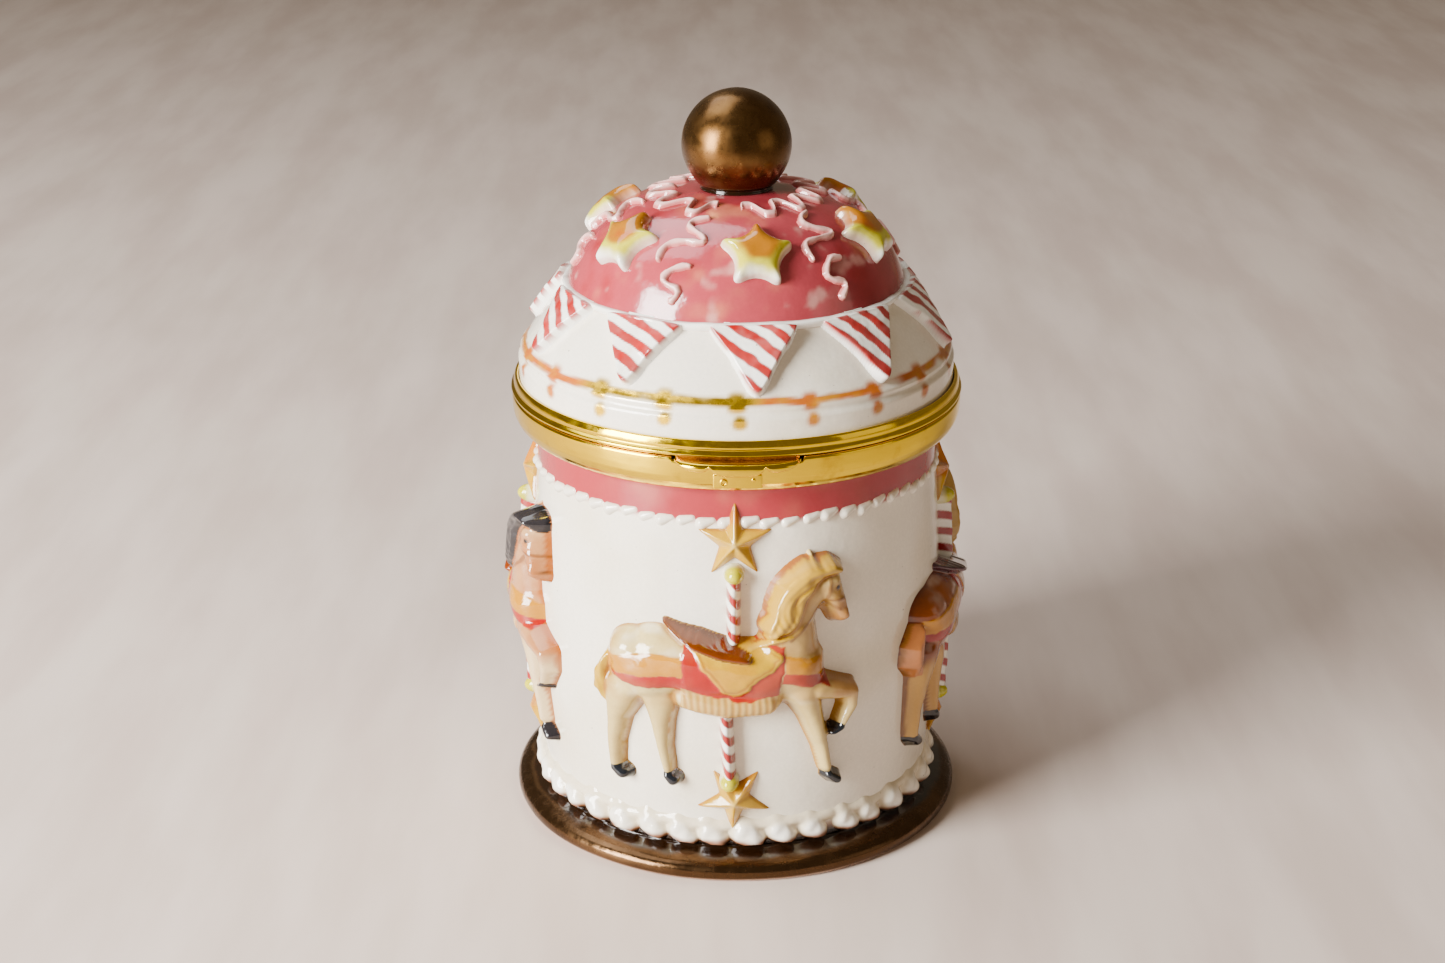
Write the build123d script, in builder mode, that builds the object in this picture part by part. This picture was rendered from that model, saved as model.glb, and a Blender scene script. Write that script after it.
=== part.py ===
"""Carousel music box: a glazed ceramic jar with four horses in relief, a hinged lid in gilt bezels,
and a wound musical movement hidden under the floor of the trinket chamber.

Millimetres. +Z up, the front horse looks out along -Y, and the origin is the centre of the foot.
"""

import os
from math import acos, atan2, cos, degrees, hypot, pi, radians, sin

from build123d import *

# ---- driving dimensions -------------------------------------------------------------------------
FOOT_R = 48.8  # lustre flange at the foot
FOOT_H = 4.0
RECESS_R = 38.0  # hollow under the jar that hides the key
RECESS_H = 12.0
FLOOR_TOP = 16.0
CHAMBER_R = 38.2  # round the movement
TRAY_Z = 50.0  # shoulder that carries the tray
BOX_R = 39.2  # round the trinkets
RIM_R = 46.2  # rolled rim that the lower bezel grips
RIM_Z = 91.8
PARTING_Z = 92.9
PARTING_GAP = 0.2
BEZEL_R = 47.3
LID_FOOT_Z = 94.1
LID_SKIRT_R = 45.7
NECK_R = 7.9
NECK_Z = 135.0
NECK_H = 1.2
SPIGOT_R = 2.95
SPIGOT_LENGTH = 2.4
BALL_R = 11.25
BALL_Z = 144.1
HINGE_Y = 49.6
KNUCKLE_R = 1.9
HINGE_PIN_R = 0.8
HINGE_BORE_R = 0.85
LIP_R = 50.4
LIP_HALF_ANGLE = 15.0
LIP_TOP_Z = 92.6
LIP_BOTTOM_Z = 90.5

HORSE_DEPTH = 6.0
STAR_DEPTH = 2.2
FLAG_DEPTH = 1.7
SLIP_DEPTH = 0.7  # trailed slip lines
FLAG_COUNT = 10
LID_STAR_COUNT = 6
HORSE_COUNT = 4
SCALLOP_COUNT = 38
SCALLOP_REACH = 43.2  # radius of the circle through the lumps' centres
SCALLOP_Z = 8.2
SCALLOP_R = 2.5
BEAD_COUNT = 64
BEAD_REACH = 42.4
BEAD_Z = 77.9
BEAD_R = 1.1

# movement
ARBOR_X = -18.0
ARBOR_R = 2.0
BARREL_R = 11.0
BED_TOP = 18.5
SHAFT_Z = 31.6  # height of the music cylinder's axis
CYLINDER_R = 6.4
CYLINDER_X = (-4.8, 15.2)
TRACKS = 18
CROWN_MODULE = 0.6
CROWN_TEETH = 33
PINION_TEETH = 12
MODULE = 0.5
WHEEL_TEETH = 40
GOVERNOR_TEETH = 10
WORM_WHEEL_TEETH = 20
WORM_PITCH_R = 2.2
TOOTH_SHARE = 0.39  # tooth width over circular pitch, so that every pair runs with backlash
GOVERNOR_Y = MODULE * (WHEEL_TEETH + GOVERNOR_TEETH) / 2
WORM_X = 20.25
WORM_Y = GOVERNOR_Y + MODULE * WORM_WHEEL_TEETH / 2 + WORM_PITCH_R
ROD_R = 0.5
ROD_RADIUS = 36.6
SCREW_SPOTS = [(-22, 21), (-2, -27.5), (24, 3)]
SCREW_R = 1.4
RUN = 0.05  # radial running clearance
SLIP_FILM = 0.02  # film of slip between a sprig and the wall it is pressed on

# outer curve of the jar between flange and collar, and of the lid from skirt to crown, as (r, z)
JAR_CURVE = [(42.6, 5.6), (42.6, 11.0), (43.3, 22), (44.0, 42), (43.9, 58), (42.9, 72), (42.2, 85.0)]
SKIRT_CURVE = [(44.7, 102.8), (41.2, 107.9), (38.1, 112.0), (35.3, 115.4)]
DOME_CURVE = [(35.3, 115.4), (33.6, 120.2), (30.4, 125.4), (25.5, 129.9), (19, 133.1), (12, 134.6)]
DOME_CURVE.append((NECK_R, NECK_Z))
HOLLOW_CURVE = [(41.2, 100.5), (37.2, 108.5), (31.0, 114.5), (28.0, 121.0), (20.5, 128.2), (0, 132.2)]


def save(piece, name):
    """Labels a finished piece and writes it as its own file."""
    piece.part.label = name
    export_step(piece.part, f"parts/{name}.step")


def turned(points):
    """A solid of revolution about Z from a closed (r, z) outline of straight lines."""
    with BuildPart() as body:
        with BuildSketch(Plane.XZ):
            with BuildLine():
                Polyline(*points, close=True)
            make_face()
        revolve(axis=Axis.Z)
    return body


# ---- ceramic envelopes --------------------------------------------------------------------------
def jar_solid(proud=0.0):
    """The jar's outside as one filled solid, with its wall moved out by proud."""
    with BuildPart() as body:
        with BuildSketch(Plane.XZ):
            with BuildLine():
                wall = Spline(*[(r + proud, z) for r, z in JAR_CURVE])
                Polyline(
                    (0, RIM_Z),
                    (0, 0),
                    (FOOT_R - 0.7, 0),
                    (FOOT_R, 1.0),
                    (FOOT_R, 2.6),
                    (FOOT_R - 1.2, FOOT_H),
                    wall @ 0,
                )
                Polyline(wall @ 1, (43.2 + proud, 86.6), (RIM_R, 89.4), (RIM_R, RIM_Z), (0, RIM_Z))
            make_face()
        revolve(axis=Axis.Z)
    return body


def lid_solid(proud=0.0):
    """The lid's outside as one filled solid, with its skirt and dome moved out by proud."""
    shift = 0.7 * proud
    with BuildPart() as body:
        with BuildSketch(Plane.XZ):
            with BuildLine():
                skirt = Spline(*[(r + shift, z + shift) for r, z in SKIRT_CURVE])
                dome = Spline(*[(r + shift, z + shift) for r, z in DOME_CURVE])
                Polyline(
                    (0, LID_FOOT_Z),
                    (LID_SKIRT_R, LID_FOOT_Z),
                    (LID_SKIRT_R, 99.4),
                    (44.9 + shift, 100.6),
                    skirt @ 0,
                )
                Polyline(dome @ 1, (0, NECK_Z + shift), (0, LID_FOOT_Z))
            make_face()
        revolve(axis=Axis.Z)
    return body


def meridian(turn):
    """Plane through Z at an angle from +X, on which (r, z) outlines are drawn."""
    outward = (cos(radians(turn)), sin(radians(turn)), 0)
    across = (sin(radians(turn)), -cos(radians(turn)), 0)
    return Plane(origin=(0, 0, 0), x_dir=outward, z_dir=across)


def repeat_round(piece, count, first=0.0):
    """A piece repeated about Z, as one group of separate solids."""
    with BuildPart() as group:
        with PolarLocations(0, count, start_angle=first):
            add(piece.part)
    return group


# ---- the jar ------------------------------------------------------------------------------------
def jar_body(envelope):
    with BuildPart() as jar:
        add(envelope.part)
        with BuildSketch(Plane.XZ):  # trinket chamber over movement chamber, with the tray's shoulder
            with BuildLine():
                Polyline(
                    (0, FLOOR_TOP),
                    (CHAMBER_R, FLOOR_TOP),
                    (CHAMBER_R, TRAY_Z),
                    (BOX_R, TRAY_Z),
                    (BOX_R, RIM_Z),
                    (0, RIM_Z),
                    close=True,
                )
            make_face()
        revolve(axis=Axis.Z, mode=Mode.SUBTRACT)
        with BuildSketch(Plane.XY):
            Circle(RECESS_R)
        extrude(amount=RECESS_H, taper=6, mode=Mode.SUBTRACT)
        with Locations((ARBOR_X, 0, FLOOR_TOP)):
            Hole(4.0, depth=FLOOR_TOP)
        with Locations(*[(x, y, FLOOR_TOP) for x, y in SCREW_SPOTS]):
            Hole(SCREW_R + 0.3, depth=FLOOR_TOP)
    return jar


def clay_row(bed, count, reach, height, size, clear_angle):
    """Row of clay lumps pressed on the wall, left out under the stars of the four poles."""
    with BuildPart() as lump:
        with Locations((0, -reach, height)):
            Sphere(size)
        add(bed.part, mode=Mode.SUBTRACT)
    with BuildPart() as row:
        for i in range(count):
            turn = i * 360 / count
            if abs((turn + 1 + 45) % 90 - 45) > clear_angle:
                add(lump.part, rotation=(0, 0, turn))
    return row


def limb(joints):
    """Tapered capsules through (x, z, radius) joints, in the sketch being built."""
    for (x0, z0, r0), (x1, z1, r1) in zip(joints, joints[1:]):
        span = hypot(x1 - x0, z1 - z0)
        along = atan2(z1 - z0, x1 - x0)
        lean = acos((r0 - r1) / span)
        sides = [(cos(along + s * lean), sin(along + s * lean)) for s in (1, -1)]
        quad = [
            (x0 + r0 * sides[0][0], z0 + r0 * sides[0][1]),
            (x1 + r1 * sides[0][0], z1 + r1 * sides[0][1]),
            (x1 + r1 * sides[1][0], z1 + r1 * sides[1][1]),
            (x0 + r0 * sides[1][0], z0 + r0 * sides[1][1]),
        ]
        with Locations((x0, z0)):
            Circle(r0)
        with Locations((x1, z1)):
            Circle(r1)
        Polygon(*quad, align=None)


HORSE_LIMBS = [
    [(-16, 47.4, 8.2), (-4, 46.6, 7.6), (10, 46.2, 8.0)],  # trunk
    [(-19, 46, 7.2), (-22, 40, 4.6), (-24, 33, 2.4), (-24.2, 23, 1.7), (-22.8, 20.8, 1.9)],  # near hind leg
    [(-15, 39, 4.2), (-15.2, 34, 2.6), (-13.6, 24, 1.6), (-12.6, 21.8, 1.9)],  # off hind leg
    [(13, 41, 4.2), (14.8, 36, 2.8), (17.4, 24, 1.6), (19.2, 20.8, 1.6)],  # planted foreleg
    [(15, 42, 3.4), (22, 40.2, 2.3), (22.2, 36.5, 1.8), (19.2, 31.6, 1.5)],  # raised foreleg
    [(11, 50, 7.4), (13.5, 58, 6.0), (16.5, 65, 4.8)],  # neck
    [(17.6, 65.0, 3.9), (20, 57.6, 2.5)],  # head
    [(13, 67, 3.6), (8.6, 62, 4.4), (7.8, 57.6, 3.6)],  # mane
    [(-11.5, 56.2, 1.6), (-1, 52.6, 2.4)],  # saddle
    [(-24.4, 50, 1.7), (-26, 40, 2.5), (-25.2, 35.6, 1.6)],  # tail
]


def front_relief(envelope, proud):
    """Turns the sketch last made on the front plane into relief that stands proud of the wall."""
    extrude(amount=34)
    add(proud.part, mode=Mode.INTERSECT)
    add(envelope.part, mode=Mode.SUBTRACT)


FRONT = Plane.XZ.offset(24)


def horse(envelope, proud):
    with BuildPart() as relief:
        with BuildSketch(FRONT):
            for joints in HORSE_LIMBS:
                limb(joints)
        front_relief(envelope, proud)
    return relief


def star_points(long, short, tips=5):
    """Corners of a star polygon."""
    corners = []
    for i in range(2 * tips):
        reach = long if i % 2 == 0 else short
        angle = radians(90 + i * 180 / tips)
        corners.append((reach * cos(angle), reach * sin(angle)))
    return corners


POLE_X = -0.8
POLE_R = 1.35
POLE_AXIS_Y = -45.2
POLE_STARS = [(73.9, 0), (16.8, 180)]  # height of each star's centre, and its turn
POLE_BALL_R = 2.1
POLE_BALL_Z = (67.4, 21.6)
POLE_SPANS = [(52.0, 66.0), (22.8, 37.5)]


def pole_stars(envelope, proud):
    """A star over the pole, and one that points down under it."""
    with BuildPart() as stars:
        with BuildSketch(FRONT):
            for z, turn in POLE_STARS:
                with Locations(Location((POLE_X, z), turn)):
                    Polygon(*star_points(7.4, 2.8), align=None)
        front_relief(envelope, proud)
    return stars


def pole_rods(envelope, horse_relief, stars):
    with BuildPart() as rods:
        for low, high in POLE_SPANS:
            with Locations((POLE_X, POLE_AXIS_Y, (low + high) / 2)):
                Cylinder(POLE_R, high - low)
        add(envelope.part, mode=Mode.SUBTRACT)
        add(horse_relief.part, mode=Mode.SUBTRACT)
        add(stars.part, mode=Mode.SUBTRACT)
    return rods


def pole_balls(envelope, rods, stars):
    with BuildPart() as balls:
        for z in POLE_BALL_Z:
            with Locations((POLE_X, POLE_AXIS_Y, z)):
                Sphere(POLE_BALL_R)
        add(envelope.part, mode=Mode.SUBTRACT)
        add(rods.part, mode=Mode.SUBTRACT)
        add(stars.part, mode=Mode.SUBTRACT)
    return balls


# ---- bezels, hinge and clasp --------------------------------------------------------------------
KNUCKLE_LENGTH = 4.2
KNUCKLE_STEP = 4.4
LOWER_KNUCKLES = [-2 * KNUCKLE_STEP, 0, 2 * KNUCKLE_STEP]
UPPER_KNUCKLES = [-KNUCKLE_STEP, KNUCKLE_STEP]


def hinge_half(section, centres, leaf_low, leaf_high):
    """One bezel ring with its own knuckles and leaves, bored for the pin."""
    with BuildPart() as half:
        add(section.part)
        with Locations(*[(x, HINGE_Y, PARTING_Z) for x in centres]):
            Cylinder(KNUCKLE_R, KNUCKLE_LENGTH, rotation=(0, 90, 0))
        for x in centres:
            with Locations((x, HINGE_Y - 1.7, (leaf_low + leaf_high) / 2)):
                Box(KNUCKLE_LENGTH, 3.4, leaf_high - leaf_low)
        with Locations((0, HINGE_Y, PARTING_Z)):
            Cylinder(HINGE_BORE_R, 40, rotation=(0, 90, 0), mode=Mode.SUBTRACT)
    return half


def lower_bezel():
    top = PARTING_Z - PARTING_GAP / 2
    section = turned(
        [
            (37.9, top),
            (47.0, top),
            (BEZEL_R, top - 0.4),
            (47.1, 88.7),
            (45.9, 86.5),
            (44.4, 85.3),
            (43.4, 85.2),
            (43.4, 85.8),
            (44.3, 86.2),
            (45.4, 87.2),
            (46.35, 88.9),
            (46.4, RIM_Z + 0.1),
            (38.6, RIM_Z + 0.1),
            (38.6, 88.0),
            (37.9, 88.0),
        ]
    )
    ring_half = hinge_half(section, LOWER_KNUCKLES, 89.4, top)
    with BuildPart() as bezel:
        add(ring_half.part)
        with BuildSketch(meridian(-90 - LIP_HALF_ANGLE - 0.8)):  # pocket that clears the lip's root
            with BuildLine():
                Polyline((44.2, 91.9), (44.2, 93.5), (48, 93.5), (48, 91.9), close=True)
            make_face()
        revolve(axis=Axis.Z, revolution_arc=2 * LIP_HALF_ANGLE + 1.6, mode=Mode.SUBTRACT)
    return bezel


def upper_bezel():
    foot = PARTING_Z + PARTING_GAP / 2
    section = turned(
        [
            (35.8, foot),
            (47.1, foot),
            (47.5, foot + 0.4),
            (47.5, foot + 0.8),
            (47.0, foot + 1.2),
            (46.6, 96.1),
            (46.35, 96.4),
            (45.85, 96.2),
            (45.85, LID_FOOT_Z - 0.1),
            (36.5, LID_FOOT_Z - 0.1),
            (36.5, 96.5),
            (35.8, 96.5),
        ]
    )
    return hinge_half(section, UPPER_KNUCKLES, foot, 96.0)


def hinge_pin():
    with BuildPart() as pin:
        with Locations((0, HINGE_Y, PARTING_Z)):
            Cylinder(HINGE_PIN_R, 5 * KNUCKLE_STEP, rotation=(0, 90, 0))
        for side in (-1, 1):
            with Locations((side * (2.5 * KNUCKLE_STEP + 0.4), HINGE_Y, PARTING_Z)):
                Cylinder(1.3, 0.8, rotation=(0, 90, 0))
    return pin


def thumb_lip():
    """Half-moon lip soldered under the upper bezel, so a thumb can lift the lid."""
    ends = (-90 - LIP_HALF_ANGLE, -90 + LIP_HALF_ANGLE)
    with BuildPart() as lip:
        with BuildSketch(meridian(ends[0])):
            with BuildLine():
                Polyline(
                    (44.6, 92.1),
                    (47.5, 92.1),
                    (47.5, LIP_BOTTOM_Z),
                    (LIP_R - 0.6, LIP_BOTTOM_Z),
                    (LIP_R, LIP_BOTTOM_Z + 0.6),
                    (LIP_R, LIP_TOP_Z - 0.7),
                    (LIP_R - 0.7, LIP_TOP_Z),
                    (46.9, LIP_TOP_Z),
                    (46.6, PARTING_Z + PARTING_GAP / 2),
                    (44.6, PARTING_Z + PARTING_GAP / 2),
                    close=True,
                )
            make_face()
        revolve(axis=Axis.Z, revolution_arc=2 * LIP_HALF_ANGLE)
        corners = [(LIP_R * cos(radians(end)), LIP_R * sin(radians(end)), 91.3) for end in ends]
        with Locations(*corners):  # rounds the lip's ends
            Cylinder(2.2, 2.6, mode=Mode.SUBTRACT)
    return lip


CATCH_Y = -48.7


def catch_spring():
    """Leaf that hangs from the lip and hooks under the nib."""
    with BuildPart() as leaf:
        with Locations((0, CATCH_Y, 88.9)):
            Box(9.6, 0.4, 3.0)
        with Locations((0, CATCH_Y + 0.45, 87.6)):
            Box(6.0, 0.6, 0.4)
        with Locations((-3.6, CATCH_Y - 0.35, 89.6), (3.6, CATCH_Y - 0.35, 89.6)):
            Cylinder(0.6, 0.3, rotation=(90, 0, 0))
    return leaf


def catch_nib(bezel):
    """Small catch under the lip's leaf, soldered on the lower bezel."""
    half_angle = 3.5
    with BuildPart() as nib:
        with BuildSketch(meridian(-90 - half_angle)):
            with BuildLine():
                Polyline((46.8, 88.2), (47.6, 88.2), (47.9, 88.5), (47.9, 88.9), (46.8, 89.6), close=True)
            make_face()
        revolve(axis=Axis.Z, revolution_arc=2 * half_angle)
        add(bezel.part, mode=Mode.SUBTRACT)
    return nib


# ---- the lid ------------------------------------------------------------------------------------
def lid_dome(envelope):
    with BuildPart() as lid:
        add(envelope.part)
        with BuildSketch(Plane.XZ):
            with BuildLine():
                hollow = Spline(*HOLLOW_CURVE)
                Polyline(hollow @ 1, (0, LID_FOOT_Z), (HOLLOW_CURVE[0][0], LID_FOOT_Z), hollow @ 0)
            make_face()
        revolve(axis=Axis.Z, mode=Mode.SUBTRACT)
        with Locations((0, 0, NECK_Z)):
            Hole(SPIGOT_R + RUN, depth=8)
    return lid


def finial_ball():
    """Lustre ball on a short neck, with a spigot into the crown of the lid."""
    with BuildPart() as ball:
        with Locations((0, 0, BALL_Z)):
            Sphere(BALL_R)
        split(bisect_by=Plane.XY.offset(NECK_Z + NECK_H), keep=Keep.TOP)
        with BuildSketch(Plane.XY.offset(NECK_Z)):
            Circle(NECK_R - 0.3)
        extrude(amount=NECK_H + 1)
        with BuildSketch(Plane.XY.offset(NECK_Z - SPIGOT_LENGTH)):
            Circle(SPIGOT_R)
        extrude(amount=SPIGOT_LENGTH + 1)
    return ball


DOME_FACE = Plane(origin=(0, -30.2, 126.8), x_dir=(1, 0, 0), z_dir=(0, -0.72, 0.69))


def dome_relief(envelope, proud):
    """Turns the sketch last made on the dome's face into relief that stands proud of the dome."""
    extrude(amount=12)
    add(proud.part, mode=Mode.INTERSECT)
    add(envelope.part, mode=Mode.SUBTRACT)


def lid_stars(envelope, proud):
    with BuildPart() as star:
        with BuildSketch(DOME_FACE.offset(-5)):
            with Locations((0, 1.3)):
                Polygon(*star_points(7.4, 3.9), align=None)
        dome_relief(envelope, proud)
    return star


SCROLL_R = 0.55
SCROLL_LINES = [
    [(1.9, 11.3), (-1.5, 8.2), (3.9, 4.9), (-3.9, 3.2), (-4.6, 0)],
    [(2.0, -1.3), (-2.8, -4.5), (0.5, -7.9)],
]


def lid_scroll(envelope, proud):
    """One pair of trailed slip squiggles."""
    with BuildPart() as scroll:
        with BuildSketch(DOME_FACE.offset(-5)):
            for line in SCROLL_LINES:
                limb([(x, y, SCROLL_R) for x, y in line])
        dome_relief(envelope, proud)
    return scroll


def crown_wave(envelope, proud):
    """Zigzag slip line round the neck of the lid."""
    with BuildPart() as wave:
        with BuildSketch(Plane.XY.offset(128)):
            Polygon(*zigzag(16.9), align=None)
            Polygon(*zigzag(15.6), align=None, mode=Mode.SUBTRACT)
        extrude(amount=12)
        add(proud.part, mode=Mode.INTERSECT)
        add(envelope.part, mode=Mode.SUBTRACT)
    return wave


def zigzag(mean, waves=15, swing=1.9):
    corners = []
    for i in range(2 * waves):
        reach = mean + (swing if i % 2 else -swing)
        corners.append((reach * cos(pi * i / waves), reach * sin(pi * i / waves)))
    return corners


def bunting_cord(envelope):
    with BuildPart() as cord:
        with BuildSketch(Plane.XZ):
            with Locations((35.6, 115.9)):
                Circle(0.9)
        revolve(axis=Axis.Z)
        add(envelope.part, mode=Mode.SUBTRACT)
    return cord


def bunting_flag(envelope, proud, cord):
    with BuildPart() as flag:
        with BuildSketch(FRONT):
            Polygon((-8.4, 116.4), (8.4, 116.4), (1.6, 104.2), (0.6, 104.2), align=None)
        extrude(amount=34)
        add(proud.part, mode=Mode.INTERSECT)
        add(envelope.part, mode=Mode.SUBTRACT)
        add(cord.part, mode=Mode.SUBTRACT)
    return flag


# ---- tray ---------------------------------------------------------------------------------------
ROD_ANGLE = degrees(atan2(WORM_Y, WORM_X))


def rod_location(z):
    return (ROD_RADIUS * cos(radians(ROD_ANGLE)), ROD_RADIUS * sin(radians(ROD_ANGLE)), z)


def tray_disc(radius, low, high):
    """Round disc with a notch for the stop rod."""
    with BuildPart() as disc:
        with Locations((0, 0, (low + high) / 2)):
            Cylinder(radius, high - low)
        with Locations(rod_location((low + high) / 2)):
            Cylinder(1.0, high - low + 1, mode=Mode.SUBTRACT)
    return disc


# ---- the movement -------------------------------------------------------------------------------
def gear_tooth(module, root, outer):
    """One tooth as a trapezoid pointing along the sketch's X, root and tip given as radii."""
    pitch = pi * module
    half_tip = pitch * 0.10
    half_root = pitch * TOOTH_SHARE * 0.5 + module * 0.28
    return [(root - 0.15, -half_root), (outer, -half_tip), (outer, half_tip), (root - 0.15, half_root)]


def spur(teeth, module, x_low, x_high, y, z, bore, turn=0.0):
    """Spur gear on an axis along X."""
    pitch_r = module * teeth / 2
    root, outer = pitch_r - 1.2 * module, pitch_r + 0.9 * module
    with BuildPart() as gear:
        with BuildSketch(Plane(origin=(x_low, y, z), x_dir=(0, 1, 0), z_dir=(1, 0, 0))):
            Circle(root)
            with PolarLocations(0, teeth, start_angle=turn):
                Polygon(*gear_tooth(module, root, outer), align=None)
            Circle(bore, mode=Mode.SUBTRACT)
        extrude(amount=x_high - x_low)
    return gear


def bedplate():
    with BuildPart() as plate:
        with Locations((-2, 0.5, (FLOOR_TOP + BED_TOP) / 2)):
            Box(56, 60, BED_TOP - FLOOR_TOP)
        with BuildSketch(Plane.XY.offset(FLOOR_TOP)):
            Circle(35.5)
        extrude(amount=20, mode=Mode.INTERSECT)
        with Locations((5.2, COMB_BACK_Y, (BED_TOP + SHAFT_Z - 0.5) / 2)):  # ledge under the comb
            Box(20.6, 7.6, SHAFT_Z - 0.5 - BED_TOP)
        with Locations((ARBOR_X, 0, BED_TOP)):
            Hole(ARBOR_R + RUN, depth=5)
        with Locations(*[(x, y, BED_TOP) for x, y in SCREW_SPOTS]):
            Hole(SCREW_R + 0.02, depth=5)
        with Locations(*[(x, -20.6, SHAFT_Z - 0.5) for x in COMB_SCREWS]):
            Hole(0.82, depth=5)
        with Locations((WORM_X, WORM_Y, BED_TOP)):
            Hole(0.5 + RUN, depth=1.2)
    return plate


COMB_SCREWS = (0.2, 10.2)
COMB_BACK_Y = -20.2  # middle of the comb's thick back


def movement_screws():
    with BuildPart() as screws:
        for x, y in SCREW_SPOTS:
            with Locations((x, y, 14.1)):
                Cylinder(SCREW_R, 7.2)
            with Locations((x, y, 10.7)):
                Cylinder(2.8, 1.6)
            with Locations((x, y, 9.9)):
                Box(4.4, 0.6, 0.9, mode=Mode.SUBTRACT, align=(Align.CENTER, Align.CENTER, Align.MIN))
    return screws


def screw_washers():
    with BuildPart() as washers:
        for x, y in SCREW_SPOTS:
            with Locations((x, y, 11.75)):
                Cylinder(3.3, 0.48)
                Cylinder(1.5, 0.48, mode=Mode.SUBTRACT)
    return washers


def winding_arbor():
    with BuildPart() as arbor:
        with Locations((ARBOR_X, 0, 17.0)):
            Cylinder(ARBOR_R, 23.6)
        with Locations((ARBOR_X, 0, 12.8)):  # collar that seats the clutch spring
            Cylinder(3.2, 1.2)
    return arbor


def winding_key():
    with BuildPart() as key:
        with Locations((ARBOR_X, 0, 8.6)):
            Cylinder(3.4, 6.0)
        with BuildSketch(Plane.XZ.offset(-1.0)):
            with Locations((ARBOR_X - 6.2, 5.6), (ARBOR_X + 6.2, 5.6)):
                Circle(4.4)
            with Locations((ARBOR_X, 6.2)):
                Rectangle(9, 4.6)
            with Locations((ARBOR_X - 6.4, 5.6), (ARBOR_X + 6.4, 5.6)):
                Circle(2.0, mode=Mode.SUBTRACT)
        extrude(amount=2.0)
        with Locations((ARBOR_X, 0, 11.6)):
            Hole(ARBOR_R, depth=6.4)
    return key


def coil(radius, wire, low, high, turns):
    """Close helical spring about Z."""
    with BuildPart() as spring:
        with BuildLine() as path:
            Helix(pitch=(high - low) / turns, height=high - low, radius=radius)
        with BuildSketch(Plane(origin=(radius, 0, 0), x_dir=(1, 0, 0), z_dir=(0, -1, 0))):
            Circle(wire)
        sweep(path=path.line, is_frenet=True)
    return spring


def placed(piece, spot):
    """The same piece, made about the origin, moved to its spot."""
    with BuildPart() as there:
        with Locations(spot):
            add(piece.part)
    return there


def spring_barrel():
    """Cup round the mainspring, with a toothed crown wheel as its cover."""
    low, high = BED_TOP + 0.6, 26.2
    mean = CROWN_MODULE * CROWN_TEETH / 2
    pitch_z = SHAFT_Z - CROWN_MODULE * PINION_TEETH / 2
    root_z, tip_z = pitch_z - 1.2 * CROWN_MODULE, pitch_z + 0.9 * CROWN_MODULE
    half_root = pi * CROWN_MODULE * TOOTH_SHARE * 0.5 + CROWN_MODULE * 0.28
    half_tip = pi * CROWN_MODULE * 0.10
    with BuildPart() as barrel:
        with Locations((0, 0, (low + high) / 2)):
            Cylinder(BARREL_R, high - low)
        with Locations((0, 0, (low + 0.8 + high) / 2)):
            Cylinder(BARREL_R - 0.8, high - low - 0.8, mode=Mode.SUBTRACT)
        with Locations((0, 0, (high + root_z) / 2)):
            Cylinder(BARREL_R, root_z - high)
        with BuildSketch(Plane.YZ.offset(mean - 0.75)):
            Polygon(
                (-half_root, root_z - 0.1),
                (half_root, root_z - 0.1),
                (half_tip, tip_z),
                (-half_tip, tip_z),
                align=None,
            )
        tooth = extrude(amount=1.5, mode=Mode.PRIVATE)
        with PolarLocations(0, CROWN_TEETH, start_angle=180 / CROWN_TEETH):
            add(tooth)
        Cylinder(ARBOR_R + RUN, 80, mode=Mode.SUBTRACT)
    return placed(barrel, (ARBOR_X, 0, 0))


def mainspring():
    """Coiled strip between arbor and barrel wall."""
    turns, start, end, strip = 7, 2.6, 9.6, 0.32
    steps = 12 * turns
    path = []
    for i in range(steps + 1):
        share = i / steps
        reach = start + (end - start) * share
        angle = 2 * pi * turns * share
        path.append((ARBOR_X + reach * cos(angle), reach * sin(angle)))
    with BuildPart() as spring:
        with BuildSketch(Plane.XY.offset(20.3)):
            with BuildLine() as strip_line:
                Spline(*path)
            trace(strip_line.line, line_width=strip)
        extrude(amount=5.4)
    return spring


def music_cylinder():
    x_low, x_high = CYLINDER_X
    with BuildPart() as drum:
        with Locations(((x_low + x_high) / 2, 0, SHAFT_Z)):
            Cylinder(CYLINDER_R, x_high - x_low, rotation=(0, 90, 0))
            Cylinder(1.0, x_high - x_low, rotation=(0, 90, 0), mode=Mode.SUBTRACT)
        for track in range(TRACKS):
            x = track_x(track)
            for note in range(4):
                angle = 20 * ((track * 7 + note * 5 + track * note) % 18)
                turn = radians(angle)
                reach = CYLINDER_R + 0.1
                spot = (x, reach * cos(turn), SHAFT_Z + reach * sin(turn))
                with Locations(Location(spot, (angle - 90, 0, 0))):
                    Cylinder(0.22, 0.8)
    return drum


def track_x(track):
    return CYLINDER_X[0] + 1.0 + track * 1.06


def comb():
    """Steel comb: eighteen tongues cut from one plate, longest at the bass end."""
    base_y, tip_y = -16.4, -(CYLINDER_R + 0.62)
    with BuildPart() as reed:
        with Locations((5.2, COMB_BACK_Y, SHAFT_Z)):
            Box(20.4, 7.6, 1.0)
        for track in range(TRACKS):
            root = base_y - 0.6 + 0.12 * track
            with Locations((track_x(track), (root + tip_y) / 2 - 0.5, SHAFT_Z)):
                Box(0.78, tip_y - root + 1.0, 0.8)
        with Locations(*[(x, -20.6, SHAFT_Z + 0.5) for x in COMB_SCREWS]):
            Hole(0.95, depth=3)
    return reed


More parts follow.
